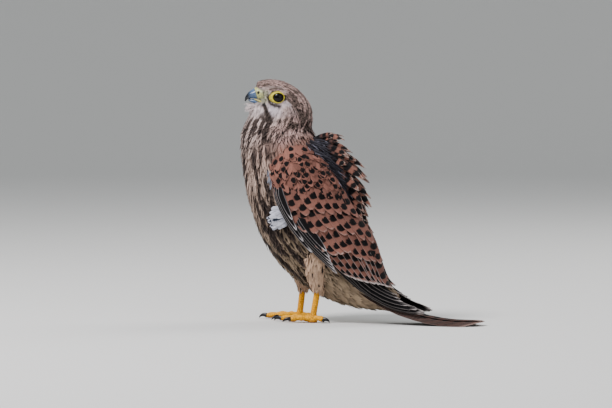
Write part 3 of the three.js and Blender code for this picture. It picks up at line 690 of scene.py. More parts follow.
@dataclass
class Markings:
    """Where each colour of the small feathers lies on the body and the head.

    Stretches along the body are pairs of sections, the p of BodySurface, and those across it are
    pairs of angles from the back. Streaks are given as the radius of the part that carries them,
    their width and their length, in millimetres.
    """

    body: BodySurface
    section_mm: float = 17.0
    belly_edge: tuple = (1.2, 1.75)
    belly_streaks: tuple = (33.0, 3.2, 15.0)
    neck_streaks: tuple = (29.0, 1.8, 13.0)
    crown_streaks: tuple = (15.0, 1.05, 7.0)
    ear_streaks: tuple = (15.0, 0.85, 7.0)
    line_breaks: tuple = (15.0, 1.1, 6.0)
    blots: tuple = (33.0, 9.0, 9.0)
    lore_dot: float = 0.9
    vent_to_breast: tuple = (5.0, 9.5)
    vent_painted_shade: tuple = (3.0, 7.0)
    breast_to_neck: tuple = (9.4, 11.0)
    neck_to_throat: tuple = (12.0, 13.4)
    brown_neck: tuple = ((8.6, 9.8), (11.2, 12.4))
    brown_side: tuple = (1.5, 2.4)
    belly_painted_shade: tuple = ((3.4, 5.0), (7.4, 9.4))
    back_to_nape: tuple = (9.2, 10.6)
    rump_to_back: tuple = (2.0, 4.5)
    head_from: tuple = (12.2, 13.2)
    side_from: tuple = (3.5, 7.0)

    def head_place(self, points: Array) -> tuple[Array, Array, Array]:
        """Points as seen from the side of the head, with the head's turn taken out."""
        local = turn_about_neck(points, -HEAD_TURN)
        return local[..., 0] - NECK_X, np.abs(local[..., 1]), local[..., 2]

    @staticmethod
    def near_line(x: Array, z: Array, line: Sequence[tuple[float, float]]) -> Array:
        """The distance from a line of points, in millimetres."""
        best = np.full(np.shape(x), 1e9)
        for (ax, az), (bx, bz) in zip(line[:-1], line[1:]):
            dx, dz = bx - ax, bz - az
            s = np.clip(((x - ax) * dx + (z - az) * dz) / (dx * dx + dz * dz), 0, 1)
            best = np.minimum(best, np.hypot(x - ax - s * dx, z - az - s * dz))
        return best

    def streaks(self, p: Array, angle: Array, size: tuple, seed: int) -> Array:
        """Noise that is drawn out along the lie of the feathers."""
        radius, width, length = size
        return grain(angle * radius / width, p * self.section_mm / length, seed)

    def plain(self, p: Array, angle: Array) -> Array:
        """The colours of the back and of the underside before any streak, with painted shade on the vent and the
        belly.
        """
        c, around = COLOURS, np.abs(angle)
        low = mix(tint(c.vent), tint(c.breast), wide(ease(*self.vent_to_breast, p)))
        # Painted shade: the underside is darker towards the vent.
        low = low * wide(mix(0.8, 1.0, ease(*self.vent_painted_shade, p)))
        pale = 0.4 * ease(*self.breast_to_neck, p) + 0.6 * ease(*self.neck_to_throat, p)
        low = mix(low, tint(c.throat), wide(pale))
        brown = 0.4 * between(p, *self.brown_neck) * (1 - ease(*self.brown_side, around))
        low = mix(low, tint(c.mantle) * 1.25, wide(brown))
        blot = self.streaks(p, angle, self.blots, 4)
        # Random blots, and painted shade that darkens the belly.
        low = low * wide((0.8 + 0.4 * blot) * (1 - 0.3 * between(p, *self.belly_painted_shade)))
        back = mix(tint(c.mantle), tint(c.crown), wide(ease(*self.back_to_nape, p)))
        back = mix(tint(c.vent) * 0.75, back, wide(ease(*self.rump_to_back, p)))
        return mix(back, low, wide(ease(*self.belly_edge, around)))

    def streaked(self, p: Array, angle: Array) -> Array:
        """The share of dark: broad streaks on the belly, fine ones on the neck, the finest on the crown."""
        belly = ease(*self.belly_edge, np.abs(angle))
        body = self.streaks(p, angle, self.belly_streaks, 1)
        neck = self.streaks(p, angle, self.neck_streaks, 2)
        fine = self.streaks(p, angle, self.crown_streaks, 3)
        heavy = 0.09 * between(p, (3.6, 5.2), (6.6, 8.4))
        broad = ease(0.42 - heavy, 0.52 - heavy, body) * between(p, (3.0, 5.0), (9.6, 10.8)) * belly
        narrow = ease(0.46, 0.55, neck) * between(p, (9.4, 10.6), (12.6, 13.6))
        throat = 0.4 * ease(0.5, 0.7, fine) * ease(12.4, 13.4, p) * belly
        crown = ease(0.48, 0.57, fine) * ease(11.8, 12.8, p) * (1 - belly) * (1 - 0.35 * ease(17, 19, p))
        return np.maximum(np.maximum(broad, narrow), np.maximum(throat, crown))

    def colour(self, p: Array, q: Array) -> Array:
        """The colour of the plumage at places, with the markings that run over its feathers and the painted shade
        under the eye, on the vent and on the belly.
        """
        c = COLOURS
        x, y, z = self.head_place(self.body.point(p, q))
        angle = np.mod(q + np.pi, 2 * np.pi) - np.pi
        side = ease(*self.side_from, y)
        face = ease(*self.head_from, p) * side
        top = profile(x, CHEEK_TOP)
        cheek = face * between(x, (-18, -13), (16, 19)) * (1 - ease(top - 1.5, top, z)) * ease(192, 200, z)
        ear = cheek * ease(-8, 3, x) * ease(194, 200, z) * (1 - 0.8 * ease(212, 217, z))
        lore = face * (1 - ease(-17, -11, x)) * between(z, (216, 220), (229, 233))
        brow = face * (1 - ease(0.8, 2.2, self.near_line(x, z, BROW_LINE)))

        streak = self.streaked(p, angle) * (1 - cheek) * (1 - lore) * (1 - 0.6 * brow)
        ear_noise = self.streaks(p, angle, self.ear_streaks, 5)
        lore_noise = grain(x / self.lore_dot, z / self.lore_dot, 7)
        streak = np.maximum(streak, 0.8 * ear * ease(0.48, 0.6, ear_noise))
        streak = np.maximum(streak, 0.75 * lore * ease(0.5, 0.7, lore_noise))
        belly = ease(*self.belly_edge, np.abs(angle))
        dark = mix(tint(c.crown_streak), tint(c.streak), wide(belly))
        ground = self.plain(p, angle)
        ground = mix(ground, mix(tint(c.cheek), tint(c.ear), wide(0.8 * ear)), wide(cheek))
        ground = mix(ground, tint(c.lore), wide(lore))
        ground = mix(ground, tint(c.brow), wide(0.6 * brow))
        ground = mix(ground, dark, wide(0.97 * streak))
        broken = 0.7 + 1.1 * self.streaks(p, angle, self.line_breaks, 6)
        # Among the face lines is painted shade under the eye, in the same dark as the real lines.
        for line in FACE_LINES:
            share = 1 - ease(line.near, line.far, self.near_line(x, z, line.points))
            share = share * side * line.share * ease(11.6, 12.4, p) * broken
            ground = mix(ground, tint(c.dark), wide(np.clip(share, 0, 1)))
        return ground


def new_material(name: str) -> tuple[bpy.types.Material, bpy.types.NodeTree, bpy.types.Node]:
    """A fresh material, its node tree and its shader."""
    material = bpy.data.materials.new(name)
    material.use_nodes = True
    return material, material.node_tree, material.node_tree.nodes["Principled BSDF"]


DARKENED = {"data_type": "RGBA", "blend_type": "MULTIPLY"}


@dataclass(frozen=True)
class Finish:
    """A finish whose material is made once and then shared by its pieces."""

    name: str
    slot: str

    def material(self) -> bpy.types.Material:
        """The material, made on first use."""
        return bpy.data.materials.get(self.name) or self.make()

    def make(self) -> bpy.types.Material:
        """Builds the material. Each kind of finish has its own."""
        raise NotImplementedError


BARB_GAP_MM = 0.8

# The arithmetic of a vane's markings: the result's name, the operation and its inputs, which for a
# SMOOTHSTEP are the value, the two ends and, where it doesn't run from 0 to 1, what it runs from and to
VANE_STEPS = (
    # An uneven edge for every mark
    ("wobble", "SUBTRACT", "rough", 0.5),
    ("wobble", "MULTIPLY", "wobble", "uneven"),
    ("away", "ABSOLUTE", "across"),
    ("half_width", "MAXIMUM", "half", 0.05),
    ("share", "DIVIDE", "away", "half_width"),
    # Barbs, which slant out from the shaft
    ("slant", "MULTIPLY", "away", 0.9),
    ("barb", "SUBTRACT", "to_tip", "slant"),
    ("barb", "ADD", "barb", "seed"),
    ("barb", "MULTIPLY", "barb", 2 * math.pi / BARB_GAP_MM),
    ("wave", "SINE", "barb"),
    # Shaft streak: as wide as its share of the whole feather, drawn out to a point at the tip
    ("quarter", "MULTIPLY", "length", 0.25),
    ("inside", "DIVIDE", "away", "quarter"),
    ("taper", "DIVIDE", "to_tip", "length"),
    ("taper", "SMOOTHSTEP", "taper", 0.02, 0.22),
    ("taper", "MULTIPLY", "streaked", "taper"),
    ("edge", "MULTIPLY", "wobble", 0.25),
    ("inside", "ADD", "inside", "edge"),
    ("inside", "SUBTRACT", "inside", "taper"),
    ("inside", "SMOOTHSTEP", "inside", -0.12, 0.16, 1.0, 0.0),
    ("present", "GREATER_THAN", "streaked", 0.02),
    ("streak", "MULTIPLY", "inside", "present"),
    # Rounded bars across the vane, counted from the tip
    ("from_tip", "SUBTRACT", "to_tip", "tip_free"),
    ("drift", "ADD", "wobble", "shift"),
    ("from_tip", "ADD", "from_tip", "drift"),
    ("turns", "DIVIDE", "from_tip", "bar_pitch"),
    ("along", "FRACT", "turns"),
    ("along", "SUBTRACT", "along", 0.5),
    ("along", "DIVIDE", "along", "half_bar"),
    ("along", "ABSOLUTE", "along"),
    ("along", "POWER", "along", "roundness"),
    ("beside", "DIVIDE", "share", "bar_edge"),
    ("beside", "POWER", "beside", "roundness"),
    ("out", "ADD", "along", "beside"),
    ("edge", "MULTIPLY", "wobble", 0.5),
    ("out", "ADD", "out", "edge"),
    ("band", "SMOOTHSTEP", "out", "core", "rim_of_bar", 1.0, 0.0),
    ("begun", "GREATER_THAN", "turns", 0.0),
    ("band", "MULTIPLY", "band", "begun"),
    ("bars", "MULTIPLY", "band", "barred"),
    # Pale fringe: worn barb tips along the edge and the end
    ("rim", "SUBTRACT", "half", "away"),
    ("end", "MULTIPLY", "to_tip", 0.6),
    ("end", "MINIMUM", "rim", "end"),
    ("end", "SMOOTHSTEP", "end", 0.3, "tip_width", 1.0, 0.0),
    ("reach", "SMOOTHSTEP", "to_tip", 3.0, 8.0, 1.0, 0.0),
    ("end", "MULTIPLY", "end", "reach"),
    ("rim", "SMOOTHSTEP", "rim", 0.1, 0.7, 1.0, 0.0),
    ("rim", "MULTIPLY", "rim", "side_rim"),
    ("worn", "MAXIMUM", "rim", "end"),
    ("worn", "MULTIPLY", "worn", "fringed"),
    # Light and dark: fibres, the root, darker as downy grey and as painted shade under the feathers over it, the barbs
    # and the shaft
    ("light", "MULTIPLY", "fibre", "mottle"),
    ("light", "ADD", "even", "light"),
    # Darker towards the root: downy grey, and painted shade where the feathers overlap.
    ("root", "SMOOTHSTEP", "to_tip", 9.0, 22.0, 1.0, 0.7),
    ("light", "MULTIPLY", "light", "root"),
    ("ripple", "MULTIPLY", "wave", 0.05),
    ("ripple", "ADD", 0.985, "ripple"),
    ("light", "MULTIPLY", "light", "ripple"),
    ("shaft", "SMOOTHSTEP", "away", 0.12, 0.34, 0.12, 0.0),
    ("light", "SUBTRACT", "light", "shaft"),
)
VANE_MAPS = {
    "lay": ("across", "to_tip", "seed"),
    "form": ("half", "length", "shift"),
    "pattern": ("streaked", "barred", "fringed"),
}
VANE_NOISE = {"rough": {"Scale": 0.55, "Detail": 2.0}, "fibre": {"Scale": 1.7, "Detail": 3.0}}


@dataclass(frozen=True)
class FeatherFinish(Finish):
    """Keratin vanes: matt, a little sheen, fine barbs that run out from the shaft.

    The barbs are about 0.4 mm apart on a real vane; they are drawn 0.8 mm apart so that they show.
    """

    bar_pitch: float = 12.0
    bar_share: float = 0.45
    bar_edge: float = 0.7
    fringe: str = COLOURS.fringe
    roughness: float = 0.75
    gloss: float = 0.12
    tip_free: float = 3.5
    tip_width: float = 1.3
    uneven: float = 1.6
    soft: float = 0.25
    mottle: float = 0.42
    side_rim: float = 0.5
    roundness: float = 2.4

    def make(self) -> bpy.types.Material:
        """Builds the material from the steps of a vane's markings."""
        material, tree, shader = new_material(self.name)
        made = asdict(self)
        made.update(half_bar=self.bar_share / 2, core=1 - self.soft, rim_of_bar=1 + self.soft,
                    even=0.99 - self.mottle / 2)
        for key, names in VANE_MAPS.items():
            vector = add_node(tree, "ShaderNodeAttribute", {"attribute_name": key}).outputs["Vector"]
            made.update(zip(names, add_node(tree, "ShaderNodeSeparateXYZ", None, Vector=vector).outputs))
            if key == "lay":
                for name, size in VANE_NOISE.items():
                    made[name] = add_node(tree, "ShaderNodeTexNoise", None, Vector=vector, **size).outputs[0]
        for name, operation, *inputs in VANE_STEPS:
            values = {f"i{k}": made[v] if isinstance(v, str) else v for k, v in enumerate(inputs)}
            smooth = operation == "SMOOTHSTEP"
            kind = "ShaderNodeMapRange" if smooth else "ShaderNodeMath"
            setting = "interpolation_type" if smooth else "operation"
            made[name] = add_node(tree, kind, {setting: operation}, **values).outputs[0]
        mark = add_node(tree, "ShaderNodeAttribute", {"attribute_name": "mark"}).outputs["Color"]
        colour = add_node(tree, "ShaderNodeAttribute", {"attribute_name": "ground"}).outputs["Color"]
        for share, over in (("streak", mark), ("bars", mark), ("worn", (*linear(self.fringe), 1.0))):
            blend = add_node(tree, "ShaderNodeMix", {"data_type": "RGBA"}, i0=made[share], i6=colour, i7=over)
            colour = blend.outputs[2]
        shade = add_node(tree, "ShaderNodeMix", DARKENED, i0=1.0, i6=colour,
                         i7=made["light"])
        tree.links.new(shade.outputs[2], shader.inputs["Base Color"])
        shader.inputs["Roughness"].default_value = self.roughness
        shader.inputs["Specular IOR Level"].default_value = self.gloss
        bump = add_node(tree, "ShaderNodeBump", None, Strength=0.35, Distance=0.0002, Height=made["wave"])
        tree.links.new(bump.outputs[0], shader.inputs["Normal"])
        return material


@dataclass(frozen=True)
class SkinFinish(Finish):
    """Skin under the feathers, matt, with the same markings as the coat."""

    tufts_per_metre: float = 330.0

    def make(self) -> bpy.types.Material:
        """Builds the material."""
        material, tree, shader = new_material(self.name)
        ground = add_node(tree, "ShaderNodeAttribute", {"attribute_name": "ground"}).outputs["Color"]
        place = add_node(tree, "ShaderNodeTexCoord").outputs["Object"]
        size = {"Scale": self.tufts_per_metre, "Detail": 4.0}
        fluff = add_node(tree, "ShaderNodeTexNoise", None, Vector=place, **size).outputs[0]
        shade = add_node(tree, "ShaderNodeMapRange", None, Value=fluff).outputs[0]
        dark = add_node(tree, "ShaderNodeMix", DARKENED, i0=0.6, i6=ground,
                        i7=shade)
        tree.links.new(dark.outputs[2], shader.inputs["Base Color"])
        shader.inputs["Roughness"].default_value = 0.95
        bump = add_node(tree, "ShaderNodeBump", None, Strength=0.6, Distance=0.0006, Height=fluff)
        tree.links.new(bump.outputs[0], shader.inputs["Normal"])
        return material


@dataclass(frozen=True)
class HornFinish(Finish):
    """Horn or bare skin: a mottled colour that a point attribute tints, under a thin gloss."""

    roughness: float
    grain_mm: float
    grain: float = 0.25
    bump_mm: float = 0.05
    subsurface: float = 0.0
    scaled: bool = False
    gloss: float = 0.5
    ior: float = 1.54

    def make(self) -> bpy.types.Material:
        """Builds the material."""
        material, tree, shader = new_material(self.name)
        ground = add_node(tree, "ShaderNodeAttribute", {"attribute_name": "ground"}).outputs["Color"]
        place = add_node(tree, "ShaderNodeTexCoord").outputs["Object"]
        size = 1 / (self.grain_mm * MM)
        # Scaled skin is painted darker in the creases between its scales, as shade.
        if self.scaled:
            cells = {"feature": "DISTANCE_TO_EDGE"}
            spots = add_node(tree, "ShaderNodeTexVoronoi", cells, Vector=place, Scale=size).outputs[0]
        else:
            spots = add_node(tree, "ShaderNodeTexNoise", None, Vector=place, Scale=size, Detail=3.0).outputs[0]
        low, high = (0.0, 0.16) if self.scaled else (0.3, 0.7)
        shade = add_node(tree, "ShaderNodeMapRange", None, i0=spots, i1=low, i2=high, i3=1.0 - self.grain,
                         i4=1.0 + self.grain * 0.4)
        colour = add_node(tree, "ShaderNodeMix", DARKENED, i0=1.0, i6=ground,
                          i7=shade.outputs[0])
        tree.links.new(colour.outputs[2], shader.inputs["Base Color"])
        bump = add_node(tree, "ShaderNodeBump", None, Strength=0.5, Distance=self.bump_mm * MM, Height=spots)
        tree.links.new(bump.outputs[0], shader.inputs["Normal"])
        settings = {"Roughness": self.roughness, "IOR": self.ior, "Specular IOR Level": self.gloss,
                    "Subsurface Weight": self.subsurface, "Subsurface Scale": 0.001}
        for name, value in settings.items():
            shader.inputs[name].default_value = value
        return material


UNDER_SKIN = SkinFinish("Skin_under_down", "plumage")
CONTOUR = FeatherFinish("Contour_feathers", "plumage", fringe=COLOURS.breast, bar_pitch=9.0, tip_free=3.0)
BARRED = FeatherFinish("Barred_vanes", "flight_feathers", bar_share=0.6, bar_edge=0.82, uneven=2.4, soft=0.35, mottle=0.7)
WHITE_TIPPED = FeatherFinish("White_tipped_vanes", "flight_feathers", bar_share=0.62, bar_edge=1.05, fringe="#cfc4c0", tip_width=2.4,
                             soft=0.3)
SPOTTED = FeatherFinish("Spotted_coverts", "flight_feathers", bar_pitch=9.5, bar_share=0.66, bar_edge=0.85, tip_free=-0.8, uneven=3.4,
                        soft=0.35, mottle=1.0)
EDGED = FeatherFinish("Edge_vanes", "flight_feathers", fringe="#cbc4c4", tip_width=0.8)
TAIL_VANES = FeatherFinish("Tail_vanes", "flight_feathers", bar_pitch=12.0, bar_share=0.6, bar_edge=0.98, tip_free=5.0)
RUFFLED = FeatherFinish("Mantle_vanes", "plumage", bar_pitch=9.5, bar_share=0.6, bar_edge=1.5, tip_free=1.4, fringe="#b9a297",
                        uneven=3.4, soft=0.45, tip_width=0.9, mottle=0.8, side_rim=0.1)
WHITE_DOWN = FeatherFinish("White_underwing", "plumage", bar_pitch=9.0, bar_share=0.3, bar_edge=0.45, tip_free=3.0)
BILL_HORN = HornFinish("Bill_horn", "bill_horn", roughness=0.24, grain_mm=2.2, grain=0.18, bump_mm=0.03)
CERE_SKIN = HornFinish("Cere_skin", "cere_skin", roughness=0.4, grain_mm=1.3, grain=0.6, bump_mm=0.16, subsurface=0.08)
NOSTRIL_DARK = HornFinish("Nostril_dark", "cere_skin", roughness=0.7, grain_mm=1.0)
EYE_WET = HornFinish("Eye_wet", "eye", roughness=0.04, grain_mm=2.0, grain=0.1, bump_mm=0.0, gloss=0.4, ior=1.34)
LEG_SKIN = HornFinish("Scaled_leg_skin", "leg_skin", roughness=0.55, grain_mm=1.7, grain=0.5, bump_mm=0.3, scaled=True,
                      gloss=0.2)
CLAW_HORN = HornFinish("Claw_horn", "claw", roughness=0.34, grain_mm=2.5, grain=0.2, gloss=0.35)


def dress(obj: Piece, finish: Finish, colour: Array | None = None) -> Piece:
    """Gives a piece its finish and lets it ride with the bird.

    Args:
        obj: The piece.
        finish: What its surface is.
        colour: Its own colour, as one row or one for each point, if it has none yet.

    Returns:
        The same piece.
    """
    if colour is not None:
        values = np.broadcast_to(colour, (len(obj.data.vertices), 3)).astype(np.float32)
        attribute = obj.data.attributes.new("ground", "FLOAT_VECTOR", "POINT")
        attribute.data.foreach_set("vector", values.ravel())
    obj.data.materials.clear()
    obj.data.materials.append(finish.material())
    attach(obj, "root")
    log.info("%s: %d faces", obj.name, len(obj.data.polygons))
    return obj


def scatter(surface: Surface, low: float, high: float, across: tuple[float, float], gap: Sequence,
            rng: Rng) -> Two:
    """Staggered rows of roots over a surface, evenly spaced in millimetres.

    Args:
        surface: What they stand on.
        low: First coordinate of the last row.
        high: First coordinate of the first row.
        across: The range of the second coordinate.
        gap: The spacing in millimetres, as a profile over the first coordinate.
        rng: Where the unevenness is drawn from.

    Returns:
        The two coordinates of the roots.
    """
    ps, qs = [], []
    p, row = high, 0
    start, end = across
    probe = np.linspace(start, end, 33)
    while p > low:
        size = surface.frame(np.full(len(probe), p), probe)[4]
        longest = size[:, 0].max()
        spacing = float(profile(p, gap))
        count = max(3, int(float(size[:, 1].mean()) * (end - start) / spacing))
        q = np.linspace(start, end, count, endpoint=False) + (end - start) * (0.25 + 0.5 * (row % 2)) / count
        q = q + rng.uniform(-0.3, 0.3, count) * (end - start) / count
        kept = rng.uniform(0, 1, count) < np.interp(q, probe, size[:, 0]) / longest
        jitter = rng.uniform(-0.35, 0.35, count) * spacing / longest
        ps.append((p + jitter)[kept])
        qs.append(q[kept])
        p -= spacing / float(longest)
        row += 1
    return np.concatenate(ps), np.concatenate(qs)


def closed_grid(top: Array, bottom: Array) -> Two:
    """A closed shell between two grids of points.

    Args:
        top: The outer grid, rows by columns.
        bottom: The inner one, as large.

    Returns:
        Points and quads.
    """
    rows, columns = top.shape[:2]
    low, last = rows * columns, (rows - 1) * columns
    a = np.arange(rows - 1)[:, None] * columns + np.arange(columns - 1)[None, :]
    upper = quads(a, a + 1, a + 1 + columns, a + columns)
    rim = [(k + 1, k) for k in range(columns - 1)]
    rim += [(last + k, last + k + 1) for k in range(columns - 1)]
    rim += [(k * columns, (k + 1) * columns) for k in range(rows - 1)]
    rim += [((k + 2) * columns - 1, (k + 1) * columns - 1) for k in range(rows - 1)]
    sides = np.array([(a, b, b + low, a + low) for a, b in rim])
    faces = np.concatenate([upper, upper[:, ::-1] + low, sides])
    return np.concatenate([top.reshape(-1, 3), bottom.reshape(-1, 3)]), faces


def ring_faces(rows: int, columns: int) -> Array:
    """Quads of a band that closes both ways, over rows and over columns."""
    i = np.arange(rows)[:, None] * columns
    k = np.arange(columns)[None]
    after, beyond = (k + 1) % columns, (i + columns) % (rows * columns)
    return quads(i + k, i + after, beyond + after, beyond + k)


def nearest_in(points: Array) -> kdtree.KDTree:
    """A tree that finds the nearest of the points."""
    tree = kdtree.KDTree(len(points))
    for i, point in enumerate(points):
        tree.insert(point, i)
    tree.balance()
    return tree


def select_only(obj: Piece) -> None:
    """Selects one object and makes it the active one."""
    bpy.ops.object.select_all(action="DESELECT")
    obj.select_set(True)
    bpy.context.view_layer.objects.active = obj


def joined(objects: Sequence[Piece], name: str) -> Piece:
    """Joins mesh objects into the first of them."""
    select_only(objects[0])
    for obj in objects[1:]:
        obj.select_set(True)
    if len(objects) > 1:
        bpy.ops.object.join()
    objects[0].name = name
    objects[0].data.name = name
    return objects[0]


def remeshed(obj: Piece, voxel_mm: float, smooth: int) -> Piece:
    """Fuses overlapping closed shells into one skin.

    Args:
        obj: The shells.
        voxel_mm: Size of the new faces.
        smooth: How often the result is smoothed.

    Returns:
        The same object.
    """
    select_only(obj)
    fuse = obj.modifiers.new("Fuse", "REMESH")
    fuse.mode = "VOXEL"
    fuse.voxel_size = voxel_mm * MM
    fuse.use_smooth_shade = True
    bpy.ops.object.modifier_apply(modifier=fuse.name)
    if smooth:
        relax = obj.modifiers.new("Relax", "SMOOTH")
        relax.factor = 0.5
        relax.iterations = smooth
        bpy.ops.object.modifier_apply(modifier=relax.name)
    return obj


def tube(centres: Array, radii: Array, sides: int = 16, flat: float = 1.0) -> Two:
    """A closed tube whose ends draw in to a point.

    Args:
        centres: Its line.
        radii: Radius at each.
        sides: Points in each ring.
        flat: How much higher than wide it is.

    Returns:
        Points and quads.
    """
    run = unit(np.gradient(centres, axis=0))
    steep = np.abs(run[:, 2:3]) > 0.9
    across = np.where(steep, np.array([0.0, 1.0, 0.0]), np.cross([0.0, 0.0, 1.0], run))
    across = unit(across - run * np.sum(across * run, axis=-1, keepdims=True))
    up = np.cross(run, across)
    angle = np.linspace(0, 2 * np.pi, sides, endpoint=False)
    rings = (
        centres[:, None]
        + across[:, None] * (radii[:, None] * np.cos(angle))[..., None]
        + up[:, None] * (radii[:, None] * flat * np.sin(angle))[..., None]
    )
    return closed_rings(rings)


def closed_rings(rings: Array) -> Two:
    """Points and quads of a tube through rings, closed by drawing each end in to its middle."""
    sides = rings.shape[1]
    first = np.repeat(rings[:1].mean(axis=1, keepdims=True), sides, axis=1)
    last = np.repeat(rings[-1:].mean(axis=1, keepdims=True), sides, axis=1)
    rings = np.concatenate([first, rings, last])
    return rings.reshape(-1, 3), loft_faces(len(rings), sides)


def shell(name: str, made: Two) -> Piece:
    """A closed mesh object from points and quads, with doubles merged and faces outwards."""
    obj = mesh_object(name, *made)
    select_only(obj)
    bpy.ops.object.mode_set(mode="EDIT")
    bpy.ops.mesh.select_all(action="SELECT")
    bpy.ops.mesh.remove_doubles(threshold=0.01 * MM)
    bpy.ops.mesh.normals_make_consistent(inside=False)
    bpy.ops.object.mode_set(mode="OBJECT")
    return obj


def thicken(obj: Piece, millimetres: float) -> None:
    """Gives the vanes of a piece their thickness, inwards."""
    select_only(obj)
    wall = obj.modifiers.new("Wall", "SOLIDIFY")
    wall.thickness = millimetres * MM
    wall.offset = -1.0
    bpy.ops.object.modifier_apply(modifier=wall.name)


FAR_THIGH = {"hip": (4, 20, 80), "knee": (-4, 21, 55), "ankle": (-3, 18.5, 33)}
LEGS = {
    Side.LEFT: {"foot": (20, -18), "turn": -6, "thigh": {}},
    Side.RIGHT: {"foot": (-7, 18), "turn": 3, "thigh": FAR_THIGH},
}


def thigh_surface(side: Side, depth: float = 0.0) -> ThighSurface:
    """The thigh of one side."""
    return ThighSurface(depth=depth, **LEGS[side]["thigh"])


FULL_TURN = (0.0, 2 * math.pi)

# Profiles of the small feathers over the sections of the body: place, then value
FEATHER_GAP = ((0, 3.7), (9, 3.6), (10.5, 2.7), (12.3, 1.9), (13.4, 1.25), (17, 1.0), (20, 0.7))
FEATHER_LENGTH = ((0, 20), (2, 22), (6, 23), (9, 21), (11, 17), (12.5, 11), (14, 6.4), (16, 4.8), (19, 3),
                  (20, 2.4))
FEATHER_WIDTH = ((9, 0.32), (11, 0.3), (14, 0.42))
FEATHER_DEPTH = ((NECK_TO_HEAD[0], 1.0), (NECK_TO_HEAD[1], HEAD_THIN))
SHAFT_STREAK = ((3.5, 0.0), (5, 0.13), (12, 0.1), (13.5, 0.0))
RUFFLING = ((2, 1.2), (4, 2.3), (6, 2.0), (8, 1.0), (10, 1.9), (12.6, 1.6), (13.4, 1.0))
DISORDER = ((9, 1.0), (11, 1.7), (13, 1.0))

FINE_CUT = Cut(stations=(0.0, 0.3, 0.6, 0.85, 1.0), widths=(0.4, 0.85, 1.0, 0.75, 0.25), columns=NARROW,
               ragged=0.09, root=-1.0)
LOOSE_CUT = Cut(stations=(0.0, 0.2, 0.4, 0.58, 0.72, 0.83, 0.92, 1.0),
                widths=(0.35, 0.75, 0.97, 1.0, 0.9, 0.72, 0.45, 0.12), ragged=0.06, root=-2.4)
WISP_CUT = Cut(stations=(0.0, 0.35, 0.7, 1.0), widths=(1.0, 0.9, 0.6, 0.15), columns=NARROW, ragged=0.03)


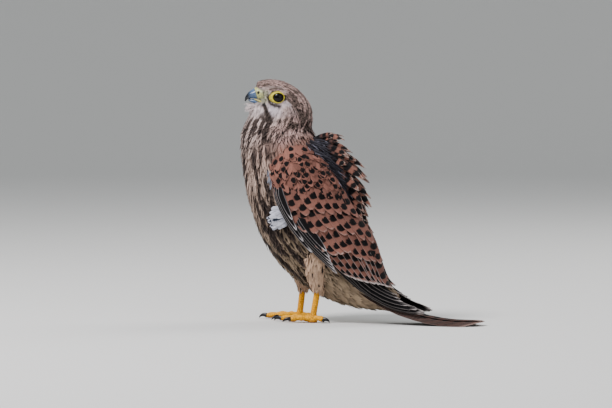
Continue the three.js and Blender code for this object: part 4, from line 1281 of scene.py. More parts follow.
@dataclass
class Body:
    """The skin of head, neck, body and thighs, and the small feathers over it."""

    rng: Rng
    depth: float = 3.0
    thigh_depth: float = 2.6
    voxel: float = 1.4
    skin_painted_shade: float = 0.75
    arm_painted_shade: float = 0.6
    wings: dict = field(default_factory=lambda: {side: WingSurface(side=side) for side in Side})
    wing_cover: float = 11.0
    wing_share: tuple = (0.1, 0.93)
    eye_gap: tuple = (1.6, 9.0, 6.9)
    cere_edge: tuple = (-20.0, 0.25, 227.0)
    cere_span: tuple = (217.5, 234.3)
    bared: tuple = (6.9, 9.6, 1.25)
    wisps: int = 90

    def __post_init__(self) -> None:
        """Prepares the surfaces."""
        self.surface = BodySurface()
        self.under = BodySurface(depth=self.depth)
        self.markings = Markings(self.surface)
        self.coat = Coat(self.surface, self.rng)

    def arm(self, wing: WingSurface) -> Two:
        """The outer and the inner side of the flesh of a wing."""
        u, v = spaced((0.01, wing.arm_end, 32), (0.03, 0.97, 18))
        middle, normal, _, _, _ = wing.frame(-u, v)
        top = middle + normal * (wing.top(-u, v) - 0.6)[..., None]
        return top, middle - normal * (wing.bottom(-u, v) - 0.4)[..., None]

    def skin(self) -> None:
        """One closed skin under all the feathers."""
        p, q = spaced((0, BODY_END, 100), (*FULL_TURN, 64), closed=True)
        points = self.under.point(p, q)
        shells = [shell("skin", closed_rings(points))]
        known = [(points, self.markings.colour(p, q))]
        for side in Side:
            thigh = spaced((0.04, 1, 16), (*FULL_TURN, 24), closed=True)
            points = thigh_surface(side, self.thigh_depth).point(*thigh)
            shells.append(shell("thigh", closed_rings(points)))
            known.append((points, np.broadcast_to(tint(COLOURS.thigh), points.shape)))
            top, bottom = self.arm(self.wings[side])
            shells.append(shell("arm", closed_grid(top, bottom)))
            # The arm's skin is darker still: painted shade under the wing's feathers.
            known.append((top, np.broadcast_to(tint(COLOURS.wing) * self.arm_painted_shade, top.shape)))
        skin = remeshed(joined(shells, "skin"), self.voxel, 3)
        tree = nearest_in(Place.metres(np.concatenate([k[0].reshape(-1, 3) for k in known])))
        colours = np.concatenate([k[1].reshape(-1, 3) for k in known])
        # The skin takes the coat's colours, darkened as painted shade in the gaps between the feathers.
        dress(skin, UNDER_SKIN, colours[[tree.find(v.co)[1] for v in skin.data.vertices]] * self.skin_painted_shade)
        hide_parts("head", "neck", "torso", "thigh_left", "thigh_right")

    def clear_of_wings(self, points: Array) -> Array:
        """Which points aren't under a wing."""
        clear = np.ones(len(points), bool)
        low, high = self.wing_share
        for wing in self.wings.values():
            u, v = spaced((0, 0.95, 60), (0, 1, 22))
            tree = nearest_in(wing.point(-u.ravel(), v.ravel()))
            for i, point in enumerate(points):
                _, found, distance = tree.find(point)
                if distance < self.wing_cover and low < v.ravel()[found] < high:
                    clear[i] = False
        return clear

    def clear_of_face(self, points: Array) -> Array:
        """Which points of the head aren't in the bare ring round an eye, on the cere or on the gape."""
        x, y, z = self.markings.head_place(points)
        forward, wide_by, high_by = self.eye_gap
        ring = ((x - EYE_PLACE[0] + forward) / wide_by) ** 2 + ((z - EYE_PLACE[2]) / high_by) ** 2
        edge, slant, height = self.cere_edge
        cere = (x < edge + slant * (height - z)) & (z < self.cere_span[1]) & (z > self.cere_span[0])
        return ((ring > 1.0) | (y < 6.0)) & ~cere

    def small_feathers(self) -> None:
        """Contour feathers from the tail coverts to the bill, smallest on the face."""
        p, q = scatter(self.surface, 0.3, BODY_END - 0.1, FULL_TURN, FEATHER_GAP, self.rng)
        length = profile(p, FEATHER_LENGTH) * self.rng.uniform(0.8, 1.2, len(p))
        root = self.surface.point(p, q)
        size = self.surface.frame(p, q)[4]
        end = self.surface.point(p - 0.8 * length / size[:, 0], q)
        keep = self.clear_of_wings(root) & ((p <= 13) | (self.clear_of_face(root) & self.clear_of_face(end)))
        keep &= (p < self.bared[0]) | (p > self.bared[1]) | (q < 2 * np.pi - self.bared[2])
        p, q, length = p[keep], q[keep], length[keep]
        n = len(p)
        shade = self.rng.uniform(0.72, 1.15, (n, 1))
        around = np.abs(np.mod(q + np.pi, 2 * np.pi) - np.pi)
        belly = around > 1.5
        shaft = profile(p, SHAFT_STREAK) * self.rng.uniform(0.2, 1.6, n)
        shaft = np.where((p > 12.8) & (around <= 1.2), self.rng.uniform(-0.2, 0.42, n), shaft)
        deep = profile(p, FEATHER_DEPTH)
        loose = (0.4 + self.rng.uniform(-0.8, 1.2, n)) * deep * profile(p, RUFFLING)
        laid = {
            "way": self.rng.normal(0, 0.12, n) * profile(p, DISORDER),
            "length": length,
            "width": length * profile(p, FEATHER_WIDTH),
            "rise": stacked(-1.1 * deep, loose),
            "bake": unwrapped(p, q, BODY_END),
            "ground": shade,
            "mark": mix(tint(COLOURS.spot), tint(COLOURS.streak), np.where(belly, 1.0, 0.0)[:, None]),
            "pattern": stacked(shaft, np.where(belly | (p > 9.6), 0.0, 0.9), np.where(belly, 0.1, 0.25)),
        }
        pieces = {
            "coat_head": p > 13.2,
            "coat_neck": (p <= 13.2) & (p > 10.2),
            "coat_breast": (p <= 10.2) & (p > 6.5) & belly,
            "coat_belly": (p <= 6.5) & belly,
            "coat_back": (p <= 10.2) & ~belly,
        }
        for name, chosen in pieces.items():
            vanes = Vanes()
            picked = {key: values[chosen] for key, values in laid.items()}
            cut = FINE_CUT if name == "coat_head" else LOOSE_CUT
            self.coat.lay(vanes, cut, p[chosen], q[chosen], paint=self.markings.colour, **picked)
            if name == "coat_head":
                self.chin(vanes)
            dress(vanes.build(name), CONTOUR)

    def chin(self, vanes: Vanes) -> None:
        """Loose pale wisps that stand forward under the bill."""
        n, half = self.wisps, 5.5
        y = self.rng.uniform(-half, half, n)
        root = stacked(self.rng.uniform(-31, -24, n), y, self.rng.uniform(213.5, 217.5, n))
        reach = self.rng.uniform(4.0, 10.5, n)[:, None]
        lean = stacked(-1.0, 0.35 * y / half, self.rng.uniform(-0.75, 0.15, n))
        tip = root + unit(lean) * reach
        s = np.array(WISP_CUT.stations)
        spine = mix(root[:, None], tip[:, None], s[None, :, None])
        spine[..., 2] -= 1.2 * (s**2)[None]
        spine = turn_about_neck(spine + np.array([NECK_X, 0.0, 0.0]), HEAD_TURN)
        normal = unit(np.array([-0.3, -0.9, 0.3]))
        ground = tint(COLOURS.throat) * self.rng.uniform(0.75, 1.25, (n, 1))
        bake = stacked(0.5 + 0.01 * y, 0.96)
        self.coat.spread(vanes, WISP_CUT, spine, normal, length=reach[:, 0], width=self.rng.uniform(0.5, 1.1, n),
                         bake=bake, ground=ground)

    def thigh_feathers(self) -> None:
        """Long loose feathers of the thighs."""
        for side in Side:
            surface = thigh_surface(side)
            p, q = scatter(surface, 0.12, 1.0, FULL_TURN, ((0, 2.6),), self.rng)
            n = len(p)
            length = self.rng.uniform(13, 19, n) * profile(p, ((0, 0.6), (0.4, 1)))
            ground = tint(COLOURS.thigh) * self.rng.uniform(0.68, 1.12, (n, 1))
            spotted = (self.rng.uniform(0, 1, n) < 0.1) * 0.22
            pattern = stacked(spotted, 0.0, 0.15)
            rise = stacked(-0.8, self.rng.uniform(-0.4, 2.2, n))
            vanes = Vanes()
            Coat(surface, self.rng).lay(
                vanes, Cut(ragged=0.05, root=-2.0), p, q, way=self.rng.normal(0, 0.1, n), length=length,
                width=length * 0.26, rise=rise, bake=unwrapped(p, q, 1.0), ground=ground,
                mark=tint(COLOURS.streak), pattern=pattern)
            dress(vanes.build(f"coat_thigh_{side.name.lower()}"), CONTOUR)


WIDE_CUT = Cut(
    stations=(0.0, 0.1, 0.2, 0.32, 0.45, 0.58, 0.7, 0.79, 0.86, 0.915, 0.955, 0.985, 1.0),
    widths=(0.5, 0.68, 0.84, 0.96, 1.0, 0.99, 0.95, 0.88, 0.78, 0.65, 0.5, 0.32, 0.1),
    columns=(-1.0, -0.66, -0.33, -0.07, 0.0, 0.07, 0.33, 0.66, 1.0),
    camber=0.12, ragged=0.012, root=-1.4, shaft=0.35,
)
POINTED_CUT = replace(
    WIDE_CUT, widths=(0.5, 0.7, 0.86, 0.97, 1.0, 0.96, 0.86, 0.74, 0.61, 0.47, 0.33, 0.19, 0.06), ragged=0.008,
    shaft=0.3,
)
RUFFLED_CUT = replace(
    WIDE_CUT, widths=(0.5, 0.7, 0.86, 0.97, 1.0, 0.94, 0.82, 0.68, 0.52, 0.37, 0.24, 0.12, 0.03), camber=0.25,
    ragged=0.03, shaft=0.3,
)
LARGE_PATCH = (0.075, 0.115)


@dataclass(frozen=True)
class WingRow:
    """A row of wing feathers, from the leading to the trailing one."""

    count: int
    width: float
    root: tuple
    tip: tuple
    rise: tuple
    ground: str
    step: float = 0.0
    roll: float = 0.7
    reach: float = 0.0
    bars: float = 1.0
    fringe: float = 0.8
    uneven: float = 0.01
    cut: Cut = WIDE_CUT


WING_ROWS = (
    # Primaries, secondaries and tertials
    WingRow(7, 10.0, ((0.5, 0.08), (0.5, 0.64)), ((0.965, 0.2), (0.8, 0.88)), (0, 0.1),
            COLOURS.flight, step=0.38, roll=0.8, reach=0.03, bars=0.0, fringe=0.6),
    WingRow(7, 13.5, ((0.42, 0.26), (0.42, 0.78)), ((0.64, 0.29), (0.71, 0.8)), (2.5, 3.6),
            COLOURS.wing, step=0.18, roll=1.0, fringe=0.9),
    WingRow(4, 13.5, ((0.38, 0.76), (0.38, 0.92)), ((0.70, 0.72), (0.745, 0.92)), (3.4, 4.6),
            COLOURS.wing, step=0.4, roll=0.8, fringe=1.0),
    # Primary coverts and alula
    WingRow(6, 7.0, ((0.24, 0.05), (0.27, 0.24)), ((0.62, 0.08), (0.5, 0.27)), (2.8, 5.0),
            COLOURS.flight, step=0.15, bars=0.0, fringe=1.0, cut=POINTED_CUT),
    WingRow(4, 5.5, ((0.1, 0.03), (0.15, 0.14)), ((0.5, 0.04), (0.33, 0.15)), (3.0, 5.6),
            COLOURS.flight, step=0.2, bars=0.0, fringe=1.0, cut=POINTED_CUT),
    # Greater, median and lesser coverts
    WingRow(8, 13.5, ((0.3, 0.25), (0.3, 0.94)), ((0.5, 0.25), (0.56, 0.95)), (1.4, 5.2),
            COLOURS.wing, step=0.1, uneven=0.03, fringe=0.7),
    WingRow(8, 13.0, ((0.21, 0.2), (0.21, 0.94)), ((0.4, 0.21), (0.43, 0.95)), (1.2, 4.2),
            COLOURS.wing, uneven=0.04, fringe=0.4),
    WingRow(9, 11.5, ((0.15, 0.12), (0.15, 0.94)), ((0.3, 0.14), (0.32, 0.95)), (1, 3.6),
            COLOURS.wing, uneven=0.05, fringe=0.2),
)


WING_PIECES = (
    # The piece's name, its rows, its finish and the thickness of its vanes
    ("flight_feathers", WING_ROWS[:3], WHITE_TIPPED, 0.35),
    ("wing_edge", WING_ROWS[3:5], EDGED, 0.3),
    ("wing_coverts", WING_ROWS[5:], BARRED, 0.3),
)
SHOULDER_CUT = Cut(stations=(0.0, 0.2, 0.4, 0.6, 0.76, 0.88, 0.95, 1.0),
                   widths=(0.5, 0.85, 1.0, 0.96, 0.8, 0.55, 0.34, 0.1), ragged=0.045, root=-0.6)


@dataclass
class Wing:
    """One folded wing: its flight feathers and coverts over the skin of the arm."""

    side: Side
    rng: Rng
    clear: float = 0.5
    gap: float = 4.4
    spotted: float = 0.6

    def __post_init__(self) -> None:
        """Prepares the surface."""
        self.surface = WingSurface(side=self.side)
        self.coat = Coat(self.surface, self.rng)
        self.patches = 0

    def row(self, vanes: Vanes, row: WingRow) -> None:
        """Adds one row of feathers."""
        n = row.count
        share = np.linspace(0, 1, n)
        root = mix(*np.array(row.root), share[:, None])
        tip = mix(*np.array(row.tip), share[:, None])
        bow = row.reach * np.sin(np.pi * np.minimum(1, share * 1.6))
        tip[:, 0] += bow + row.uneven * self.rng.uniform(-0.5, 0.5, n)
        place = mix(root[:, None], tip[:, None], np.array(row.cut.stations)[None, :, None])
        middle, normal, _, _, _ = self.surface.frame(-place[..., 0], place[..., 1])
        high = self.surface.top(-place[..., 0], place[..., 1]) + self.clear + row.cut.height(*row.rise)
        high = high + row.cut.early() * (np.arange(n) * row.step)[:, None]
        spine = middle + normal * high[..., None]
        length = np.linalg.norm(np.diff(spine, axis=1), axis=-1).sum(axis=1)
        bake = numbered(self.patches + np.arange(n))
        self.patches += n
        ground = tint(row.ground) * self.rng.uniform(0.88, 1.1, (n, 1))
        pattern = (0.0, row.bars, row.fringe)
        self.coat.spread(vanes, row.cut, spine, normal, length=length, width=row.width,
                         roll=row.roll * self.side.value, bake=bake, patch=LARGE_PATCH, ground=ground,
                         mark=tint(COLOURS.spot), pattern=pattern)

    def shoulder(self, vanes: Vanes) -> None:
        """The smallest coverts, over the shoulder and the leading edge."""
        p, q = scatter(self.surface, -0.25, 0.012, (0.0, 1.0), ((0, self.gap),), self.rng)
        n = len(p)
        length = self.rng.uniform(12, 17, n)
        ground = tint(COLOURS.wing) * self.rng.uniform(0.6, 1.15, (n, 1))
        spotted = (self.rng.uniform(0, 1, n) < self.spotted).astype(float)
        pattern = stacked(0.0, spotted, 0.0)
        rise = stacked(self.rng.uniform(0.6, 1.0, n), self.rng.uniform(1.6, 2.8, n))
        bake = stacked(0.02 + 0.96 * q, 0.02 + 0.9 * (-p + 0.02) / 0.3)
        self.coat.lay(vanes, SHOULDER_CUT, p, q, way=self.rng.normal(0, 0.12, n), length=length, width=length * 0.5,
                      rise=rise, base=self.surface.top, bake=bake, ground=ground,
                      mark=tint(COLOURS.spot), pattern=pattern)

    def build(self) -> None:
        """Makes the wing's pieces."""
        name = self.side.name.lower()
        gathered = []
        for _, rows, _, _ in WING_PIECES:
            gathered.append(Vanes())
            for row in rows:
                self.row(gathered[-1], row)
        shoulder = Vanes()
        self.shoulder(shoulder)
        for vanes, (kind, _, finish, thick) in zip(gathered, WING_PIECES):
            piece = dress(vanes.build(f"{kind}_{name}"), finish)
            thicken(piece, thick)
            if kind == "flight_feathers":
                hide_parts(f"wing_{name}")
        dress(shoulder.build(f"coat_shoulder_{name}"), SPOTTED)


TAIL_CUT = Cut(stations=(0.0, 0.12, 0.25, 0.38, 0.5, 0.62, 0.72, 0.81, 0.88, 0.93, 0.965, 0.99, 1.0),
               widths=(0.7, 0.8, 0.9, 0.98, 1.0, 1.0, 1.0, 0.98, 0.94, 0.86, 0.72, 0.45, 0.2),
               columns=WIDE_CUT.columns, camber=0.05, ragged=0.002, shaft=0.3)


@dataclass
class Tail:
    """Twelve tail feathers in levels, laid along the floor at their ends."""

    rng: Rng
    root: tuple = (50.0, 44.4)
    length: float = 152.0
    flat: float = 22.0
    slope: float = math.radians(41)
    pairs: int = 6
    width: float = 13.5
    level: float = 0.82
    clear: float = 0.9
    shorter: float = 3.0
    inmost: float = 1.6
    first: float = 7.0
    next: float = 2.4

    def place(self, s: Array) -> tuple[Array, Array, Array]:
        """A place on the middle line, s millimetres from the root, and the slope there."""
        curved = self.length - self.flat
        bend = curved / self.slope
        slope = self.slope * (1 - np.minimum(s, curved) / curved)
        x = self.root[0] + bend * (math.sin(self.slope) - np.sin(slope)) + np.maximum(0, s - curved)
        z = self.root[1] - bend * (np.cos(slope) - math.cos(self.slope))
        return x, z, slope

    def build(self) -> None:
        """Makes the tail's vanes."""
        s = np.array(TAIL_CUT.stations)
        vanes = Vanes()
        coat = Coat(BodySurface(), self.rng)
        for pair in range(self.pairs):
            for side in Side:
                length = self.length - self.shorter * max(0, pair - 1)
                offset = self.inmost if pair == 0 else self.first + (pair - 1) * self.next
                lowest = 0 if pair == 0 and side is Side.LEFT else -1
                level = (self.pairs - pair + lowest) * self.level + self.clear
                x, z, slope = self.place(s * length)
                normal = stacked(np.sin(slope), 0.0, np.cos(slope))
                y = side.value * offset * mix(0.72, 1.0, s)
                spine = stacked(x, y, z) + normal * level
                bake = np.array([[(pair * 2 + (side is Side.RIGHT) + 0.5) / (2 * self.pairs), 0.5]])
                coat.spread(vanes, TAIL_CUT, spine[None], normal[None], length=length, width=self.width,
                            bake=bake, patch=(0.078, 0.96), ground=tint(COLOURS.tail),
                            mark=tint(COLOURS.flight), pattern=(0.0, 1.0, 1.0))
        piece = dress(vanes.build("tail_feathers"), TAIL_VANES)
        thicken(piece, 0.35)
        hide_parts("tail")


MANTLE_ROWS = (9.75, 9.55, 9.25, 8.95, 8.6, 8.25, 7.9, 7.5, 7.1, 6.7, 6.3, 5.9, 5.5, 5.1)
MANTLE_LIFT = ((5.1, 13), (6, 19), (7, 23), (7.5, 26), (8, 33), (8.5, 42), (9, 51), (9.4, 55), (9.75, 62))
MANTLE_LENGTH = ((5.1, 40), (8, 42), (9.1, 45), (9.75, 35))
MANTLE_WILD = ((8.4, 1.0), (9.5, 2.2))
DOWN_LIFT = ((6.3, 26), (7, 30), (8, 42), (9, 56), (9.6, 60))
DOWN_CUT = Cut(stations=(0.0, 0.35, 0.7, 1.0), widths=(0.6, 1.0, 0.8, 0.1), columns=NARROW, ragged=0.12,
               root=-2.4)
FIBRE_CUT = Cut(stations=(0.0, 0.25, 0.5, 0.75, 1.0), widths=(0.7, 1.0, 0.8, 0.5, 0.1), columns=NARROW,
                camber=0.1, ragged=0.02)
TUFT_MARK = "#1d2430"
WRIST_GREY = "#84858f"


@dataclass
class Mantle:
    """The ruffled feathers of the back, the grey down they bare, and a tuft before the near wing."""

    rng: Rng
    angles: int = 4
    sunk: float = 3.5
    aside: float = 1.3
    sweep: float = 0.22
    fibres: int = 620
    tuft: int = 60
    tuft_ends: tuple = ((-3.0, -38.2, 114.5), (1.0, -38.8, 99.0))
    tuft_reach: float = 19.5
    wrist: int = 26
    wrist_ends: tuple = ((-20.0, -34.5, 160.0), (-15.5, -38.5, 143.0))
    wrist_length: float = 9.0

    def build(self) -> None:
        """Makes the vanes and the down."""
        self.surface = BodySurface()
        self.coat = Coat(self.surface, self.rng)
        vanes = Vanes()
        for number, section in enumerate(MANTLE_ROWS):
            self.row(vanes, number * self.angles, section)
        thicken(dress(vanes.build("mantle_feathers"), RUFFLED), 0.3)
        down = Vanes()
        self.lying_down(down)
        self.standing_down(down)
        dress(down.build("coat_down"), CONTOUR)
        tuft = Vanes()
        self.white_tuft(tuft)
        self.grey_wrist(tuft)
        thicken(dress(tuft.build("underwing_tuft"), WHITE_DOWN), 0.3)

    def row(self, vanes: Vanes, number: int, section: float) -> None:
        """One row of lifted feathers across the back.

        Args:
            vanes: Where they go.
            number: How many feathers were made before.
            section: Where the row stands, in sections of the body.
        """
        n, s = self.angles, np.array(RUFFLED_CUT.stations)
        q = np.linspace(-0.08, 0.5, n) + self.rng.uniform(-0.06, 0.06, n)
        lift = np.radians(profile(section, MANTLE_LIFT) * self.rng.uniform(0.86, 1.12, n))
        length = profile(section, MANTLE_LENGTH) * self.rng.uniform(0.66, 1.0, n)
        wild = profile(section, MANTLE_WILD)
        root, normal, back, _, _ = self.surface.frame(np.full(n, section), q)
        normal, back = normal[:, None], back[:, None]
        bent = lift[:, None] * (1 - 0.35 * s)
        along = length[:, None] * s
        out = along * np.sin(bent) - self.sunk * (1 - s)
        spine = root[:, None] - back * (along * np.cos(bent))[..., None] + normal * out[..., None]
        face = normal * np.cos(bent)[..., None] + back * np.sin(bent)[..., None]
        face[..., 1] -= self.aside * ease(0, 0.4, s)[None]
        swept = wild * self.rng.uniform(-self.sweep, self.sweep, n)[:, None] * length[:, None] * s**1.5
        spine = spine + back * swept[..., None]
        ground = tint(COLOURS.mantle) * self.rng.uniform(0.7, 1.25, (n, 1))
        ground = mix(tint(COLOURS.down) * 0.45, ground[:, None], ease(0.3, 0.62, s)[None, :, None])[:, :, None]
        self.coat.spread(vanes, RUFFLED_CUT, spine, unit(face), length=length,
                         width=self.rng.uniform(7.5, 12, n) / wild**0.6, roll=self.rng.uniform(-0.6, 0.6, n),
                         bake=numbered(number + np.arange(n)), patch=LARGE_PATCH, ground=ground,
                         mark=tint(COLOURS.flight), pattern=(0.0, 1.0, 0.75))

    def lying_down(self, vanes: Vanes) -> None:
        """Grey down between the mantle and the wings."""
        for span in ((-1.25, 0.1), (0.45, 1.2)):
            p, q = scatter(self.surface, 6.2, 9.3, span, ((0, 1.7),), self.rng)
            n = len(p)
            ground = mix(tint(COLOURS.down), tint(COLOURS.flight), self.rng.uniform(0, 1, (n, 1)) ** 2)
            ground = ground * self.rng.uniform(0.6, 1.5, (n, 1))
            rise = stacked(self.rng.uniform(-1, 1.5, n), self.rng.uniform(0.5, 5.0, n))
            self.coat.lay(vanes, DOWN_CUT, p, q, way=self.rng.normal(0, 0.4, n), length=self.rng.uniform(8, 15, n),
                          width=self.rng.uniform(0.8, 2.2, n), rise=rise,
                          bake=unwrapped(p, np.mod(q, 2 * np.pi), BODY_END), ground=ground)

    def standing_down(self, vanes: Vanes) -> None:
        """Fibres that stand up with the mantle feathers, before their bare bases."""
        n, s = self.fibres, np.array(FIBRE_CUT.stations)
        p = self.rng.uniform(6.3, 9.6, n)
        q = self.rng.uniform(-0.6, 0.12, n)
        lift = profile(p, DOWN_LIFT) * self.rng.uniform(0.5, 1.15, n)
        length = self.rng.uniform(9, 21, n)
        root, normal, back, side, _ = self.surface.frame(p, q)
        normal, back, side = normal[:, None], back[:, None], side[:, None]
        bent = np.radians(lift)[:, None] * (1 - 0.3 * s)
        along = length[:, None] * s
        spine = root[:, None] - back * (along * np.cos(bent))[..., None]
        spine = spine + normal * (along * np.sin(bent) - 1.5 * (1 - s))[..., None]
        spine = spine + side * (self.rng.normal(0, 1.6, (n, 1)) * s**2)[..., None]
        spine = spine + back * (self.rng.normal(0, 2.2, (n, 1)) * s**2)[..., None]
        face = unit(np.array([-0.3, -1.0, 0.2]))
        ground = mix(tint(COLOURS.down), tint(COLOURS.flight), self.rng.uniform(0, 1, (n, 1)))
        ground = ground * np.where(self.rng.uniform(0, 1, (n, 1)) < 0.18, 5.2, 1.0)
        self.coat.spread(vanes, FIBRE_CUT, spine, face, length=length, width=self.rng.uniform(0.4, 1.7, n),
                         bake=unwrapped(p, np.mod(q, 2 * np.pi), BODY_END), ground=ground)

    def white_tuft(self, vanes: Vanes) -> None:
        """A few white feathers that stand out before the near wing."""
        n = self.tuft
        share = self.rng.uniform(0, 1, (n, 1))
        roots = mix(*np.array(self.tuft_ends), share)
        fan = np.radians(self.rng.normal(-20, 10, n))
        rounded = np.sqrt(1 - (1.7 * (share[:, 0] - 0.5)) ** 2)
        reach = self.tuft_reach * rounded * self.rng.uniform(0.45, 1.0, n)
        tips = roots + stacked(-reach * np.cos(fan), -2.6, reach * np.sin(fan))
        s = np.array(WIDE_CUT.stations)
        bulge = (np.sin(np.pi * s) * 1.4)[None, :, None] * np.array([0.0, -1.0, 0.0])
        spine = mix(roots[:, None], tips[:, None], s[None, :, None]) + bulge
        spine[..., 1] -= self.rng.uniform(0, 1.6, (n, 1))
        normal = unit(np.array([-0.25, -1.0, 0.1]))
        marked = (np.abs(share[:, 0] - 0.5) < 0.12) & (reach > 10)
        pattern = stacked(np.where(marked, 0.4, 0.0), 0.0, 0.0)
        bake = stacked((np.arange(n) + 0.5) / n, 0.5)
        width = self.rng.uniform(3.0, 6.0, n)
        ground = tint(COLOURS.white) * self.rng.uniform(0.75, 1.1, (n, 1))
        self.coat.spread(vanes, WIDE_CUT, spine, normal, length=np.linalg.norm(tips - roots, axis=-1), width=width,
                         bake=bake, patch=(0.02, 0.9), ground=ground, mark=tint(TUFT_MARK), pattern=pattern)

    def grey_wrist(self, vanes: Vanes) -> None:
        """Small grey feathers at the wing's wrist."""
        n = self.wrist
        share = self.rng.uniform(0, 1, (n, 1))
        roots = mix(*np.array(self.wrist_ends), share)
        tips = roots + self.rng.uniform(-1, 1, (n, 3)) * np.array([1.6, 0.5, 2.0])
        tips = tips + np.array([-1.6, -1.2, -self.wrist_length])
        spine = mix(roots[:, None], tips[:, None], np.array(POINTED_CUT.stations)[None, :, None])
        normal = unit(np.array([-0.6, -1.0, 0.1]))
        bake = stacked((np.arange(n) + 0.5) / n, 0.02)
        width = self.rng.uniform(1.6, 3.4, n)
        ground = tint(WRIST_GREY) * self.rng.uniform(0.5, 1.3, (n, 1))
        self.coat.spread(vanes, POINTED_CUT, spine, normal, length=self.wrist_length, width=width, bake=bake,
                         patch=(0.02, 0.02), ground=ground, mark=tint(TUFT_MARK))


UPPER_BILL = np.array([
    # ventral x, z, dorsal x, z, half width
    (-25.4, 222, -29, 232.7, 5.4), (-28.5, 222.3, -31.5, 231, 4.7), (-32, 222.6, -34.5, 228.8, 3.6),
    (-34, 221.6, -36.6, 226.2, 2.5), (-35.6, 221.6, -38, 223.8, 1.5), (-37.6, 219.4, -38.5, 219.8, 0.4),
])
LOWER_BILL = np.array([
    (-23, 216.5, -24, 221.2, 5), (-28.5, 217.6, -28.5, 221.7, 3.9), (-33, 219, -32.6, 221.9, 2.3),
    (-35, 220.5, -34.6, 221.5, 1),
])
CERE = np.array([(-17, 217.6, -21.8, 234.2, 9.9), (-21.4, 219.2, -26, 234, 8.3), (-25, 221.2, -28.6, 233.1, 6.4)])


BILL_HALVES = (
    # The piece's name, its node, its sections and how sharp its upper side is
    ("upper_bill", "bill_upper", UPPER_BILL, 0.35),
    ("lower_bill", "bill_lower", LOWER_BILL, 0.0),
)
GAPE = ((-28.5, 4.4, 221.7), (-24, 5.9, 220.2), (-20.5, 7.2, 218.4), (-17.5, 8.6, 216.4), (-15.5, 9.6, 214.6))


